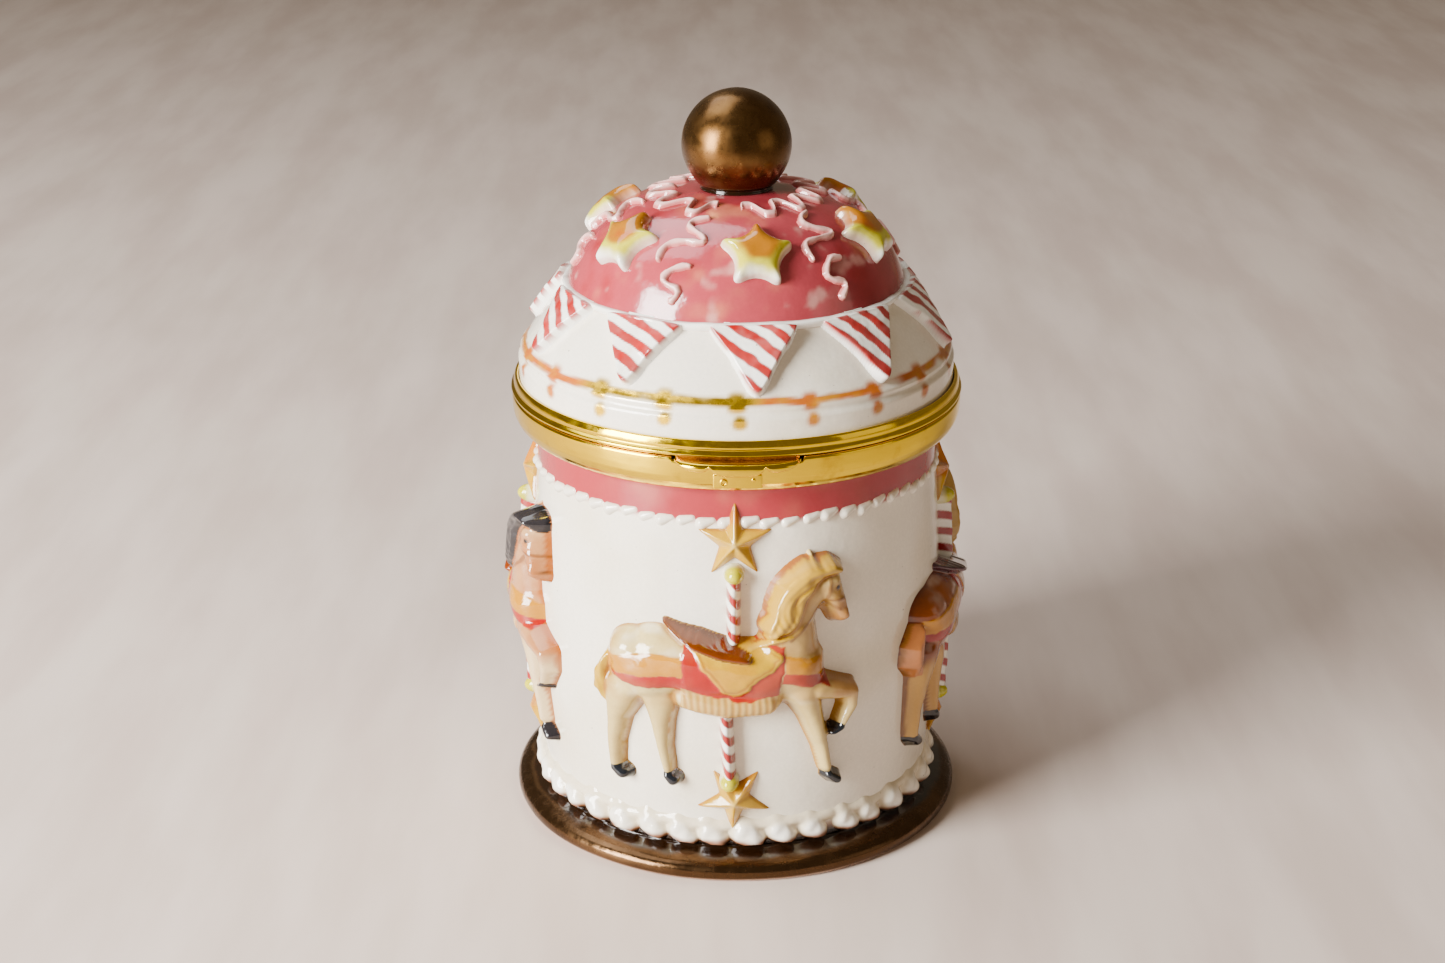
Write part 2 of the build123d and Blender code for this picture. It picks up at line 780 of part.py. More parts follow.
def comb_screws():
    with BuildPart() as screws:
        for x in COMB_SCREWS:
            with Locations((x, -20.6, 29.8)):
                Cylinder(0.8, 4.8)
            with Locations((x, -20.6, 32.7)):
                Cylinder(1.8, 1.2)
            with Locations((x, -20.6, 33.1)):
                Box(3.7, 0.5, 0.7, mode=Mode.SUBTRACT)
    return screws


def cylinder_arbor():
    with BuildPart() as arbor:
        with Locations((5.5, 0, SHAFT_Z)):
            Cylinder(1.0, 32, rotation=(0, 90, 0))
    return arbor


BEARING_X = (-6.1, 18.7)


def cylinder_bearings():
    with BuildPart() as posts:
        for x in BEARING_X:
            with Locations((x, 0, (BED_TOP + 35) / 2)):
                Box(1.0, 6.4, 35 - BED_TOP)
            with Locations((x + (1.6 if x > 0 else 1.2), 0, BED_TOP + 0.4)):
                Box(2.2 if x > 0 else 1.4, 6.4, 0.8)
            with Locations((x, 0, SHAFT_Z)):
                Cylinder(1.0 + RUN, 4, rotation=(0, 90, 0), mode=Mode.SUBTRACT)
    return posts


def governor_frame():
    """Two plates for the governor wheel, a bridge over the worm and a guide arm for the stop rod."""
    with BuildPart() as frame:
        for x in (14.3, 22.8):
            with Locations((x, GOVERNOR_Y, (BED_TOP + 38.4) / 2)):
                Box(1.0, 5.6, 38.4 - BED_TOP)
        with Locations((18.55, GOVERNOR_Y, 38.4)):
            Box(9.5, 5.6, 0.9)
        with Locations((WORM_X, (GOVERNOR_Y + WORM_Y) / 2 + 1.2, 38.4)):
            Box(5.6, WORM_Y - GOVERNOR_Y + 2.4, 0.9)
        with BuildSketch(Plane.XY.offset(26.0)):  # arm that guides the stop rod
            with Locations(rod_location(0)[:2]):
                Circle(1.6)
            with Locations((23.5, GOVERNOR_Y)):
                Rectangle(2.0, 5.0)
            make_hull()
        extrude(amount=1.0)
        with Locations((0, GOVERNOR_Y, SHAFT_Z)):
            Cylinder(0.7 + RUN, 80, rotation=(0, 90, 0), mode=Mode.SUBTRACT)
        with Locations((WORM_X, WORM_Y, 38.4)):
            Cylinder(0.6 + RUN, 3, mode=Mode.SUBTRACT)
        with Locations(rod_location(26.5)):
            Cylinder(ROD_R + RUN, 3, mode=Mode.SUBTRACT)
    return frame


def governor_arbor():
    """Arbor with its cut pinion."""
    pinion = spur(GOVERNOR_TEETH, MODULE, 15.7, 17.5, GOVERNOR_Y, SHAFT_Z, 0.5, turn=18)
    with BuildPart() as arbor:
        add(pinion.part)
        with Locations((18.55, GOVERNOR_Y, SHAFT_Z)):
            Cylinder(0.7, 9.9, rotation=(0, 90, 0))
    return arbor


def worm_shaft():
    """Upright shaft with a single-start worm and a seat for the fly."""
    pitch = pi * MODULE
    core, outer, length = WORM_PITCH_R - 1.15 * MODULE, WORM_PITCH_R + 0.85 * MODULE, 5 * pitch
    start_z = SHAFT_Z - length / 2 + 0.25 * pitch  # brings a groove to the wheel at the axis height
    half_root, half_tip = pitch * TOOTH_SHARE * 0.5 + 0.14, pitch * 0.10
    with BuildPart() as shaft:
        with BuildLine() as path:
            Helix(pitch=pitch, height=length, radius=core)
        with BuildSketch(Plane(origin=(core, 0, 0), x_dir=(1, 0, 0), z_dir=(0, -1, 0))):
            Polygon(
                (-0.1, -half_root),
                (outer - core, -half_tip),
                (outer - core, half_tip),
                (-0.1, half_root),
                align=None,
            )
        sweep(path=path.line, is_frenet=True)
        for radius, low, high in (
            (core, start_z - 0.8, start_z + length + 0.8),
            (0.6, BED_TOP + 0.3, 44.0),
            (0.9, BED_TOP + 0.3, 21.0),
            (0.5, BED_TOP - 1.1, BED_TOP + 0.4),
        ):
            with Locations((0, 0, (low + high) / 2 - start_z)):
                Cylinder(radius, high - low)
    return placed(shaft, (WORM_X, WORM_Y, start_z))


def fan_fly():
    """Two-bladed air brake with a friction disc on top."""
    with BuildPart() as fly:
        with Locations((WORM_X, WORM_Y, 41.8)):
            Cylinder(1.4, 4.4)
            Box(10.0, 0.5, 4.0)
        with Locations((WORM_X, WORM_Y, 43.9)):
            Cylinder(3.0, 0.6)
        with Locations((WORM_X, WORM_Y, 41.6)):
            Cylinder(0.6, 5.2, mode=Mode.SUBTRACT)
    return fly


def stop_rod():
    """Wire that the lid pushes down, with a brake pad over the fly and a collar for its spring."""
    reach = ROD_RADIUS - hypot(WORM_X, WORM_Y)
    with BuildPart() as rod:
        with Locations(rod_location((23 + 92.9) / 2)):
            Cylinder(ROD_R, 92.9 - 23)
        with Locations(rod_location(36.5)):
            Cylinder(1.2, 0.8)
        with Locations(Location(rod_location(44.85), (0, 0, ROD_ANGLE))):
            with Locations((-reach / 2, 0, 0)):
                Box(reach, 1.0, 0.7)
            with Locations((-reach, 0, -0.1)):
                Cylinder(1.6, 0.9)
    return rod


# ---- build --------------------------------------------------------------------------------------
def build_jar():
    bed = jar_solid(SLIP_FILM)
    save(jar_body(jar_solid()), "jar_body")
    save(clay_row(bed, SCALLOP_COUNT, SCALLOP_REACH, SCALLOP_Z, SCALLOP_R, 5.2), "foot_scallops")
    save(clay_row(bed, BEAD_COUNT, BEAD_REACH, BEAD_Z, BEAD_R, 4.2), "collar_beads")
    front_horse = horse(bed, jar_solid(HORSE_DEPTH))
    for name, turn in (("front", 0), ("right", 90), ("back", 180), ("left", -90)):
        save(repeat_round(front_horse, 1, turn), f"horse_{name}")
    stars = pole_stars(bed, jar_solid(STAR_DEPTH))
    rods = pole_rods(bed, front_horse, stars)
    balls = pole_balls(bed, rods, stars)
    save(repeat_round(stars, HORSE_COUNT), "pole_stars")
    save(repeat_round(rods, HORSE_COUNT), "barber_poles")
    save(repeat_round(balls, HORSE_COUNT), "pole_balls")
    bezel = lower_bezel()
    save(bezel, "lower_bezel")
    save(catch_nib(bezel), "catch_nib")
    save(hinge_pin(), "hinge_pin")


def build_lid():
    bed = lid_solid(SLIP_FILM)
    save(lid_dome(lid_solid()), "lid_dome")
    save(upper_bezel(), "upper_bezel")
    save(finial_ball(), "finial_ball")
    save(thumb_lip(), "thumb_lip")
    save(catch_spring(), "catch_spring")
    slip = lid_solid(SLIP_DEPTH)
    save(repeat_round(lid_stars(bed, lid_solid(STAR_DEPTH)), LID_STAR_COUNT, 8), "lid_stars")
    save(repeat_round(lid_scroll(bed, slip), LID_STAR_COUNT, 38), "lid_scrolls")
    save(crown_wave(bed, slip), "crown_wave")
    cord = bunting_cord(bed)
    save(cord, "bunting_cord")
    flag = bunting_flag(bed, lid_solid(FLAG_DEPTH), cord)
    save(repeat_round(flag, FLAG_COUNT, 5), "bunting_flags")


def build_tray():
    save(tray_disc(BOX_R - 0.2, TRAY_Z, TRAY_Z + 2), "tray_floor")
    save(tray_disc(BOX_R - 0.6, TRAY_Z + 2, TRAY_Z + 3), "tray_lining")


def build_movement():
    save(bedplate(), "bedplate")
    save(movement_screws(), "movement_screws")
    save(screw_washers(), "screw_washers")
    save(winding_arbor(), "winding_arbor")
    save(winding_key(), "winding_key")
    save(placed(coil(2.35, 0.22, 0, 1.9, 4), (ARBOR_X, 0, 13.75)), "clutch_spring")
    save(spring_barrel(), "spring_barrel")
    save(mainspring(), "mainspring")
    save(music_cylinder(), "music_cylinder")
    save(cylinder_arbor(), "cylinder_arbor")
    save(spur(PINION_TEETH, CROWN_MODULE, -9.1, -7.1, 0, SHAFT_Z, 1.0), "cylinder_pinion")
    save(spur(WHEEL_TEETH, MODULE, 15.9, 17.3, 0, SHAFT_Z, 1.0), "cylinder_wheel")
    save(cylinder_bearings(), "cylinder_bearings")
    save(comb(), "comb")
    save(comb_screws(), "comb_screws")
    save(governor_frame(), "governor_frame")
    save(governor_arbor(), "governor_arbor")
    save(spur(WORM_WHEEL_TEETH, MODULE, 19.65, 20.85, GOVERNOR_Y, SHAFT_Z, 0.7), "worm_wheel")
    save(worm_shaft(), "worm_shaft")
    save(fan_fly(), "fan_fly")
    save(stop_rod(), "stop_rod")
    save(placed(coil(0.85, 0.13, 0, 8.6, 6), rod_location(27.2)), "stop_spring")


os.makedirs("parts", exist_ok=True)
build_jar()
build_lid()
build_tray()
build_movement()
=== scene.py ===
import math

import bpy
import numpy as np
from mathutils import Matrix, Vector
from mathutils.bvhtree import BVHTree


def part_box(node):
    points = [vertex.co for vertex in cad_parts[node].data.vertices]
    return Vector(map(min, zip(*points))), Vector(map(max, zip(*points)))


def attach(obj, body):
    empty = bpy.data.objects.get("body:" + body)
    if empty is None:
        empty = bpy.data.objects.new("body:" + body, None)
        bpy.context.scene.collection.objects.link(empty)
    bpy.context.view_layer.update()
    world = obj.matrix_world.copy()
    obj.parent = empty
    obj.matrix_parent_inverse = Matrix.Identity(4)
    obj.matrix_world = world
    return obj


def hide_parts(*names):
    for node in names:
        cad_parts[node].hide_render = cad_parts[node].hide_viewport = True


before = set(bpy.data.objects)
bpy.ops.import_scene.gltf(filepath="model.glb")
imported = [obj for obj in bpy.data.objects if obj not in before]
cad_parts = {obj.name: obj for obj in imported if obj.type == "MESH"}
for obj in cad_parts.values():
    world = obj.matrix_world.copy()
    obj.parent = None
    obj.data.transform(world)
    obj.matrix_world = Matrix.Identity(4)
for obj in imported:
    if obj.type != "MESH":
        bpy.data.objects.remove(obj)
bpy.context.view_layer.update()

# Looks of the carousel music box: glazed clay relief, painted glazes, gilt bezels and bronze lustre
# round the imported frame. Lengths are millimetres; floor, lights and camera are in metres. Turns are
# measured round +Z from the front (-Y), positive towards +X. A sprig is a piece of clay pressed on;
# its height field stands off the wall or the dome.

MM = 0.001
TAU = 2 * math.pi
EDGE = -0.4  # floor of an eased height field, just under the skin
CUT = -0.3  # height below which a sprig is cut away
BACK = -1.0  # height of a sprig's back, inside the wall
SKIN_STEP = 0.1
SKIN_SMOOTHING = 2.0
LOOK_FROM_M = 0.09
WALL_R = 44  # radius on which the wall's sprigs are laid out


# ---- numbers and noise --------------------------------------------------------------------------
def srgb(*rgb):
    """Linear colour from display values in 0..1; strong hues are deepened, as bright ones are shown paler."""
    rgb = np.array(rgb, float)
    linear = np.where(rgb <= 0.04045, rgb / 12.92, ((rgb + 0.055) / 1.055) ** 2.4)
    purity = 1 - linear.min() / linear.max()
    return np.clip(linear.max() - 1.1 * (linear.max() - linear), 0, 1) * (1 - 0.5 * purity**1.3)


def step(low, high, value):
    """Smooth 0..1 ramp between low and high."""
    t = np.clip((value - low) / (high - low), 0, 1)
    return t * t * (3 - 2 * t)


def mix(a, b, share):
    """Blends colours a and b, each one colour or a grid of them, by a grid of shares."""
    share = np.asarray(share)[..., None]
    return a * (1 - share) + b * share


def blend_max(a, b, sharp):
    """Smooth maximum of two height fields; the join is about 1/sharp wide."""
    top = np.maximum(a, b)
    return top + np.log(np.exp(sharp * (a - top)) + np.exp(sharp * (b - top))) / sharp


def highest(fields):
    return np.maximum.reduce(fields)


def lattice(cell, seed):
    """Random value in -1..1 for each lattice cell, by mixing the bits of its numbers."""
    n = cell[..., 0] * 374761393 + cell[..., 1] * 668265263 + cell[..., 2] * 362437 + seed * 1274126177
    n = (n ^ (n >> 13)) & 0x7FFFFFFF
    n = (n * 60493 + n * n * 15731) & 0x7FFFFFFF
    return ((n >> 7) & 0xFFFF) / 32767.5 - 1


def noise(points, size, seed):
    """Smooth noise in -1..1 over points, with lumps about size across."""
    scaled = points / size
    cell = np.floor(scaled).astype(np.int64)
    part = scaled - cell
    part = part * part * (3 - 2 * part)
    total = np.zeros(points.shape[:-1])
    for corner in range(8):
        offset = np.array([corner & 1, corner >> 1 & 1, corner >> 2])
        weight = np.prod(np.where(offset, part, 1 - part), axis=-1)
        total += weight * lattice(cell + offset, seed)
    return total


def patches(points, size, seed, low, high):
    """Mask of soft-edged patches: three octaves of noise, ramped between low and high."""
    total = noise(points, size, seed) + noise(points, size / 2.1, seed + 1) / 2
    return step(low, high, (total + noise(points, size / 4.3, seed + 2) / 4) / 1.4)


def blur(grid, cells):
    """Blurs the first two axes of a grid by a bell about that many cells wide."""
    reach = int(3 * cells) + 1
    bell = np.exp(-0.5 * (np.arange(-reach, reach + 1) / cells) ** 2)
    bell /= bell.sum()
    for axis in (0, 1):
        pad = [(0, 0)] * grid.ndim
        pad[axis] = (reach, reach)
        padded = np.pad(grid, pad, mode="edge")
        length = grid.shape[axis]
        grid = sum(w * np.take(padded, range(i, i + length), axis=axis) for i, w in enumerate(bell))
    return grid


def ease_walls(height, spacing, slope):
    """Lowers a height field until no wall in it is steeper than slope, from just under the skin up."""
    height = np.maximum(height, EDGE)
    for _ in range(int(7 / (slope * spacing)) + 1):
        for rows, columns in ((0, 1), (1, 0), (1, 1), (1, -1)):
            allowed = slope * spacing * math.hypot(rows, columns)
            for sign in (1, -1):
                moved = np.roll(height, (sign * rows, sign * columns), axis=(0, 1))
                height = np.minimum(height, moved + allowed)
    return height


def round_over(height, spacing, reach, top):
    """Rounds a height field down to the skin in a quarter of an ellipse, reach wide and top high."""
    inward = blur(ease_walls(np.where(height > 0, 9.0, 0.0), spacing, 1.0), 1.2)
    limit = top * np.sqrt(1 - (1 - np.clip(inward / reach, 0, 1)) ** 2) + EDGE * (inward < 0.5 * spacing)
    return np.maximum(np.minimum(height, limit), EDGE)


# ---- skins: surfaces of revolution read from the frame ------------------------------------------
def around(turn, r, z):
    """Points at turns, radii and heights."""
    return np.stack([r * np.sin(turn), -r * np.cos(turn), z], axis=-1)


def arc_from(turn, centre):
    """Signed turn from a centre, wrapped to half a turn either way."""
    return (turn - centre + math.pi) % TAU - math.pi


def outline_of(node, looks):
    """(r, z) points on a node's outside, seen from all round towards each (height, lift) of its axis."""
    tree = BVHTree.FromObject(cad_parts[node], bpy.context.evaluated_depsgraph_get())
    outline = []
    for height, lift in looks:
        centre = Vector((0, 0, height * MM))
        reach = 0
        for turn in np.arange(0, TAU, TAU / 12) + 0.13:
            out = Vector((math.sin(turn) * math.cos(lift), -math.cos(turn) * math.cos(lift), math.sin(lift)))
            hit = tree.ray_cast(centre + out * LOOK_FROM_M, -out)[0]
            if hit:
                reach = max(reach, (hit - centre).length / MM)
        outline.append((reach * math.cos(lift), height + reach * math.sin(lift)))
    return outline


class Skin:
    """A surface of revolution, addressed by turn and by length s along its outline."""

    def __init__(self, outline):
        points = np.array(outline, float)
        length = np.concatenate([[0], np.cumsum(np.hypot(*np.diff(points, axis=0).T))])
        self.s = np.arange(0, length[-1], SKIN_STEP)
        self.r = np.interp(self.s, length, points[:, 0])
        self.z = np.interp(self.s, length, points[:, 1])
        cells = SKIN_SMOOTHING / SKIN_STEP
        slope_r, slope_z = (np.gradient(blur(v[None, :].repeat(2, 0), cells)[0]) for v in (self.r, self.z))
        size = np.hypot(slope_r, slope_z)
        self.out_r, self.out_z = slope_z / size, -slope_r / size

    def s_at(self, z):
        return np.interp(z, self.z, self.s)

    def radius(self, s):
        return np.interp(s, self.s, self.r)

    def height(self, s):
        return np.interp(s, self.s, self.z)

    def place(self, turn, s, height):
        """Points height above the skin."""
        r = self.radius(s) + height * np.interp(s, self.s, self.out_r)
        return around(turn, r, self.height(s) + height * np.interp(s, self.s, self.out_z))

    def ring(self, low, high, spacing, columns):
        """Grids of turn and s all the way round, with the seam at the back."""
        return np.meshgrid(np.linspace(-math.pi, math.pi, columns), np.arange(low, high, spacing))

    def on_wall(self, quarter, x, y):
        """Turn and s of a flat patch, x across and y up, laid round a quarter's middle."""
        return quarter * math.pi / 2 + np.arcsin(x / WALL_R), self.s_at(y)

    def on_dome(self, turn, middle, x, y):
        """Turn and s of a flat patch laid on the dome, its origin at a turn and at s = middle."""
        return turn + x / self.radius(middle + y), middle + y


# ---- meshes -------------------------------------------------------------------------------------
def link(name, data):
    piece = bpy.data.objects.new(name, data)
    bpy.context.scene.collection.objects.link(piece)
    return piece


def make_piece(name, points, faces, material, body, nodes=(), paint=None):
    """A smooth-shaded piece from points, painted by one linear RGBA per point."""
    mesh = bpy.data.meshes.new(name)
    mesh.from_pydata((points * MM).tolist(), [], faces)
    mesh.validate()
    mesh.polygons.foreach_set("use_smooth", [True] * len(mesh.polygons))
    if paint is not None:
        layer = mesh.attributes.new("paint", "FLOAT_COLOR", "POINT")
        layer.data.foreach_set("color", np.clip(paint, 0, 1).astype(np.float32).ravel())
    mesh.materials.append(material)
    piece = link(name, mesh)
    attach(piece, body)
    if nodes:
        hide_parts(*nodes)
    return piece


def paint_of(colour, metal=0.0):
    """RGBA rows from a grid of colours; alpha tells the glaze shader where metal lustre lies."""
    alpha = metal + np.zeros(colour.shape[:-1])
    return np.concatenate([colour, alpha[..., None]], axis=-1).reshape(-1, 4)


def quads_of(index):
    """Quads between the neighbours in a grid of point numbers."""
    return np.stack([index[:-1, :-1], index[:-1, 1:], index[1:, 1:], index[1:, :-1]], axis=-1).reshape(-1, 4)


def snap(turn, s, height):
    """Moves the grid points just outside a sprig in to its outline, by up to a cell, so it isn't stepped."""
    fall, rise = np.gradient(height)
    steep = np.maximum(fall**2 + rise**2, 1e-6)
    near = (height < CUT) & (height > CUT - 3.0 * np.sqrt(steep))
    share = np.where(near, np.clip((CUT - height) / np.sqrt(steep), 0, 0.9), 0) / np.sqrt(steep)
    return turn + share * rise * (turn[0, 1] - turn[0, 0]), s + share * fall * (s[1, 0] - s[0, 0])


def relief(name, skin, spots, height, colour, material, body, nodes=()):
    """A closed sprig: a height grid above CUT, at spots (turn, s), with its back inside the wall."""
    turn, s = snap(*spots, height)
    front = skin.place(turn, s, np.maximum(height, 2 * CUT)).reshape(-1, 3)
    rear = skin.place(turn, s, np.full_like(height, BACK)).reshape(-1, 3)
    index = np.arange(height.size).reshape(height.shape)
    quads = quads_of(index)
    quads = quads[height.ravel()[quads].max(axis=1) > CUT]
    edges = np.concatenate([quads[:, [i, (i + 1) % 4]] for i in range(4)])
    code, mirror = edges[:, 0] * index.size + edges[:, 1], edges[:, 1] * index.size + edges[:, 0]
    rim = edges[~np.isin(code, mirror)]
    sides = np.stack([rim[:, 1], rim[:, 0], rim[:, 0] + index.size, rim[:, 1] + index.size], axis=-1)
    faces = np.concatenate([quads, quads[:, ::-1] + index.size, sides])
    used, faces = np.unique(faces, return_inverse=True)
    points = np.concatenate([front, rear])[used]
    paint = np.concatenate([paint_of(colour)] * 2)[used]
    return make_piece(name, points, faces.reshape(-1, 4).tolist(), material, body, nodes, paint)


def merge(name, pieces, node):
    """Joins pieces on one body into one that stands in for a node."""
    first = pieces[0]
    with bpy.context.temp_override(active_object=first, selected_editable_objects=pieces, object=first):
        bpy.ops.object.join()
    first.name = name
    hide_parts(node)


def lathe(name, outline, material, body, node, wobble, seed, painter):
    """A closed ring from an (r, z) outline, slightly wobbly, painted by a function of its points."""
    columns = 480
    turn = np.arange(columns) * TAU / columns
    r, z = outline[:, :1] + 0 * turn, outline[:, 1:] + 0 * turn
    points = around(turn, r, z)
    swell = 1 + wobble * noise(points, 14, seed) / np.maximum(r, 1)
    points[..., :2] *= swell[..., None]
    index = np.arange(r.size).reshape(r.shape)
    index = np.concatenate([index, index[:1]])
    index = np.concatenate([index, index[:, :1]], axis=1)
    faces = quads_of(index).tolist()
    make_piece(name, points.reshape(-1, 3), faces, material, body, [node], painter(points))


def loft(name, sections, material, body, nodes=(), wrap=False):
    """Skins closed section loops of equal length, given as (sections, corners, 3)."""
    index = np.arange(sections.shape[0] * sections.shape[1]).reshape(sections.shape[:2])
    index = np.concatenate([index, index[:, :1]], axis=1)
    if wrap:
        index = np.concatenate([index, index[:1]])
    faces = quads_of(index)[:, [0, 3, 2, 1]].tolist()
    if not wrap:
        faces += [index[0, :-1].tolist(), index[-1, -2::-1].tolist()]
    return make_piece(name, sections.reshape(-1, 3), faces, material, body, nodes)


def spindle(name, origin, axis, profile, material, body, columns, wobble, nodes=()):
    """Turns an (r, along) profile round an axis through origin; both ends are capped."""
    side = np.cross(axis, (0.3, 0.5, 0.81))
    side /= np.linalg.norm(side)
    angle = np.arange(columns) * TAU / columns
    profile = np.array(profile, float)
    ring = np.cos(angle)[:, None] * side + np.sin(angle)[:, None] * np.cross(axis, side)
    along = profile[:, 1, None, None] * np.array(axis, float)
    points = np.array(origin) + along + profile[:, 0, None, None] * ring[None]
    points = points + ring[None] * (wobble * noise(points, 3.0, 71))[..., None]
    return loft(name, points, material, body, nodes)


# ---- outlines -----------------------------------------------------------------------------------
def smooth_outline(points, spacing, rounds=0):
    """Even points along a broken line; rounds cut its corners first."""
    points = np.array(points, float)
    for _ in range(rounds):
        near = 0.75 * points[:-1] + 0.25 * points[1:]
        far = 0.25 * points[:-1] + 0.75 * points[1:]
        inner = np.stack([near, far], axis=1).reshape(-1, 2)
        points = np.concatenate([points[:1], inner, points[-1:]])
    length = np.concatenate([[0], np.cumsum(np.linalg.norm(np.diff(points, axis=0), axis=1))])
    even = np.linspace(0, length[-1], max(2, int(length[-1] / spacing)) + 1)
    return np.stack([np.interp(even, length, points[:, i]) for i in range(2)], axis=-1)


def loop(points, rounds=2):
    """A closed outline with its corners cut."""
    points = np.array(points, float)
    for _ in range(rounds):
        after = np.roll(points, -1, axis=0)
        points = np.stack([0.75 * points + 0.25 * after, 0.25 * points + 0.75 * after], axis=1).reshape(-1, 2)
    return points


def rounded(points, size, steps=3):
    """Closed outline with each corner replaced by a short curve size long."""
    points = np.array(points, float)
    result = []
    for i, corner in enumerate(points):
        into, out = points[i - 1] - corner, points[(i + 1) % len(points)] - corner
        a = corner + into * min(0.45, size / np.linalg.norm(into))
        b = corner + out * min(0.45, size / np.linalg.norm(out))
        for t in np.linspace(0, 1, steps + 1):
            result.append((1 - t) ** 2 * a + 2 * t * (1 - t) * corner + t * t * b)
    return np.array(result)


# ---- fields on a flat patch of x across and y up ------------------------------------------------
def patch(width, tall, spacing, middle=(0, 0)):
    """Grids of x across and y up, centred on a middle."""
    x = np.arange(-width / 2, width / 2 + spacing, spacing)
    y = np.arange(-tall / 2, tall / 2 + spacing, spacing)
    return np.meshgrid(x + middle[0], y + middle[1])


def sheet(x, y, z):
    """Points of a patch for noise, on a sheet of its own so that no two patches look alike."""
    return np.stack([x, y, np.full(x.shape, float(z))], axis=-1)


def knob(x, y, x0, y0, radius):
    """A bell-shaped bump, 1 high."""
    return np.exp(-(np.hypot(x - x0, y - y0) / radius) ** 2)


def from_line(x, y, start, end):
    """How far along a segment each point lies, 0..1, and its distance from the segment."""
    (x0, y0), (x1, y1) = start, end
    dx, dy = x1 - x0, y1 - y0
    t = np.clip(((x - x0) * dx + (y - y0) * dy) / (dx * dx + dy * dy), 0, 1)
    return t, np.hypot(x - x0 - t * dx, y - y0 - t * dy)


def limb(x, y, joints, power=2.4):
    """Height of a rounded limb through (x, y, radius, height) joints; it falls below zero outside."""
    field = np.full(x.shape, -3.0)
    for (x0, y0, r0, h0), (x1, y1, r1, h1) in zip(joints, joints[1:]):
        t, distance = from_line(x, y, (x0, y0), (x1, y1))
        reach = distance / (r0 + t * (r1 - r0))
        field = np.maximum(field, (h0 + t * (h1 - h0)) * (1 - reach**power))
    return field


def inside(x, y, outline):
    """Distance inside a closed outline, negative outside."""
    distance = np.full(x.shape, 1e9)
    within = np.zeros(x.shape, bool)
    for (x0, y0), (x1, y1) in zip(outline, np.roll(outline, -1, axis=0)):
        distance = np.minimum(distance, from_line(x, y, (x0, y0), (x1, y1))[1])
        rise = y1 - y0 or 1e-12
        within ^= ((y0 > y) != (y1 > y)) & (x < (x1 - x0) * (y - y0) / rise + x0)
    return np.where(within, distance, -distance)


def star_gauge(x, y, long, short, lift):
    """0 at a five-pointed star's centre, 1 on its outline, creased from the centre to each corner."""
    fold = np.radians(np.abs((np.degrees(np.arctan2(y, x)) - lift + 36) % 72 - 36))
    notch = math.radians(36)
    across, along = short * math.sin(notch), long - short * math.cos(notch)
    return np.hypot(x, y) * (np.cos(fold) * across + np.sin(fold) * along) / (long * across)


def tilted(x, y, lean):
    """A patch turned by a small angle."""
    return x * math.cos(lean) - y * math.sin(lean), x * math.sin(lean) + y * math.cos(lean)


# ---- materials ----------------------------------------------------------------------------------
class Shader:
    """A node material, built by short calls; sockets are linked and plain values set."""

    def __init__(self, name):
        self.material = bpy.data.materials.new(name)
        self.material.use_nodes = True
        self.tree = self.material.node_tree
        self.surface = self.tree.nodes["Principled BSDF"]
        self.where = self.add("TexCoord").outputs["Object"]

    def add(self, kind, inputs=None, **settings):
        node = self.tree.nodes.new("ShaderNode" + kind)
        for key, value in settings.items():
            setattr(node, key, value)
        self.feed(node, inputs or {})
        return node

    def feed(self, node, inputs):
        for key, value in inputs.items():
            if isinstance(value, bpy.types.NodeSocket):
                self.tree.links.new(value, node.inputs[key])
            else:
                node.inputs[key].default_value = value

    def noise(self, size, detail, stretch=(1, 1, 1)):
        """Noise with lumps about size mm across, longer along the axes whose stretch is above 1."""
        scale = [1 / (size * MM * s) for s in stretch]
        where = self.add("VectorMath", {0: self.where, 1: scale}, operation="MULTIPLY").outputs[0]
        inputs = {"Vector": where, "Scale": 1.0, "Detail": detail, "Roughness": 0.55}
        return self.add("TexNoise", inputs).outputs["Fac"]

    def ramp(self, value, low, high, to_low=0.0, to_high=1.0):
        inputs = {"Value": value, "From Min": low, "From Max": high, "To Min": to_low, "To Max": to_high}
        return self.add("MapRange", inputs, interpolation_type="SMOOTHSTEP").outputs[0]

    def cloud(self, size, detail, low, high, to_low=0.0, to_high=1.0):
        """Soft patches: noise between low and high, ramped from to_low to to_high."""
        return self.ramp(self.noise(size, detail), low, high, to_low, to_high)

    def math(self, operation, a, b):
        return self.add("Math", {0: a, 1: b}, operation=operation).outputs[0]

    def blend(self, share, a, b, mode="MIX"):
        node = self.add("Mix", data_type="RGBA", blend_type=mode)
        self.feed(node, {0: share, 6: a, 7: b})
        return node.outputs[2]

    def specks(self, spacing, size, share):
        """Mask of small dots, about size mm across, in that share of cells spacing mm wide."""
        cells = self.add("TexVoronoi", {"Vector": self.where, "Scale": 1 / (spacing * MM)})
        near = self.ramp(cells.outputs["Distance"], size / spacing * 0.7, size / spacing * 0.4)
        luck = self.add("SeparateColor", {0: cells.outputs["Color"]}).outputs[0]
        lucky = self.math("LESS_THAN", luck, share)
        return self.math("MULTIPLY", near, lucky)

    def bump(self, height, strength, depth, below=None):
        inputs = {"Height": height, "Strength": strength, "Distance": depth * MM}
        if below is not None:
            inputs["Normal"] = below
        return self.add("Bump", inputs).outputs[0]

    def finish(self, **inputs):
        self.feed(self.surface, {key.replace("_", " "): value for key, value in inputs.items()})
        return self.material


def rgba(colour):
    return (*[float(c) for c in colour], 1.0)


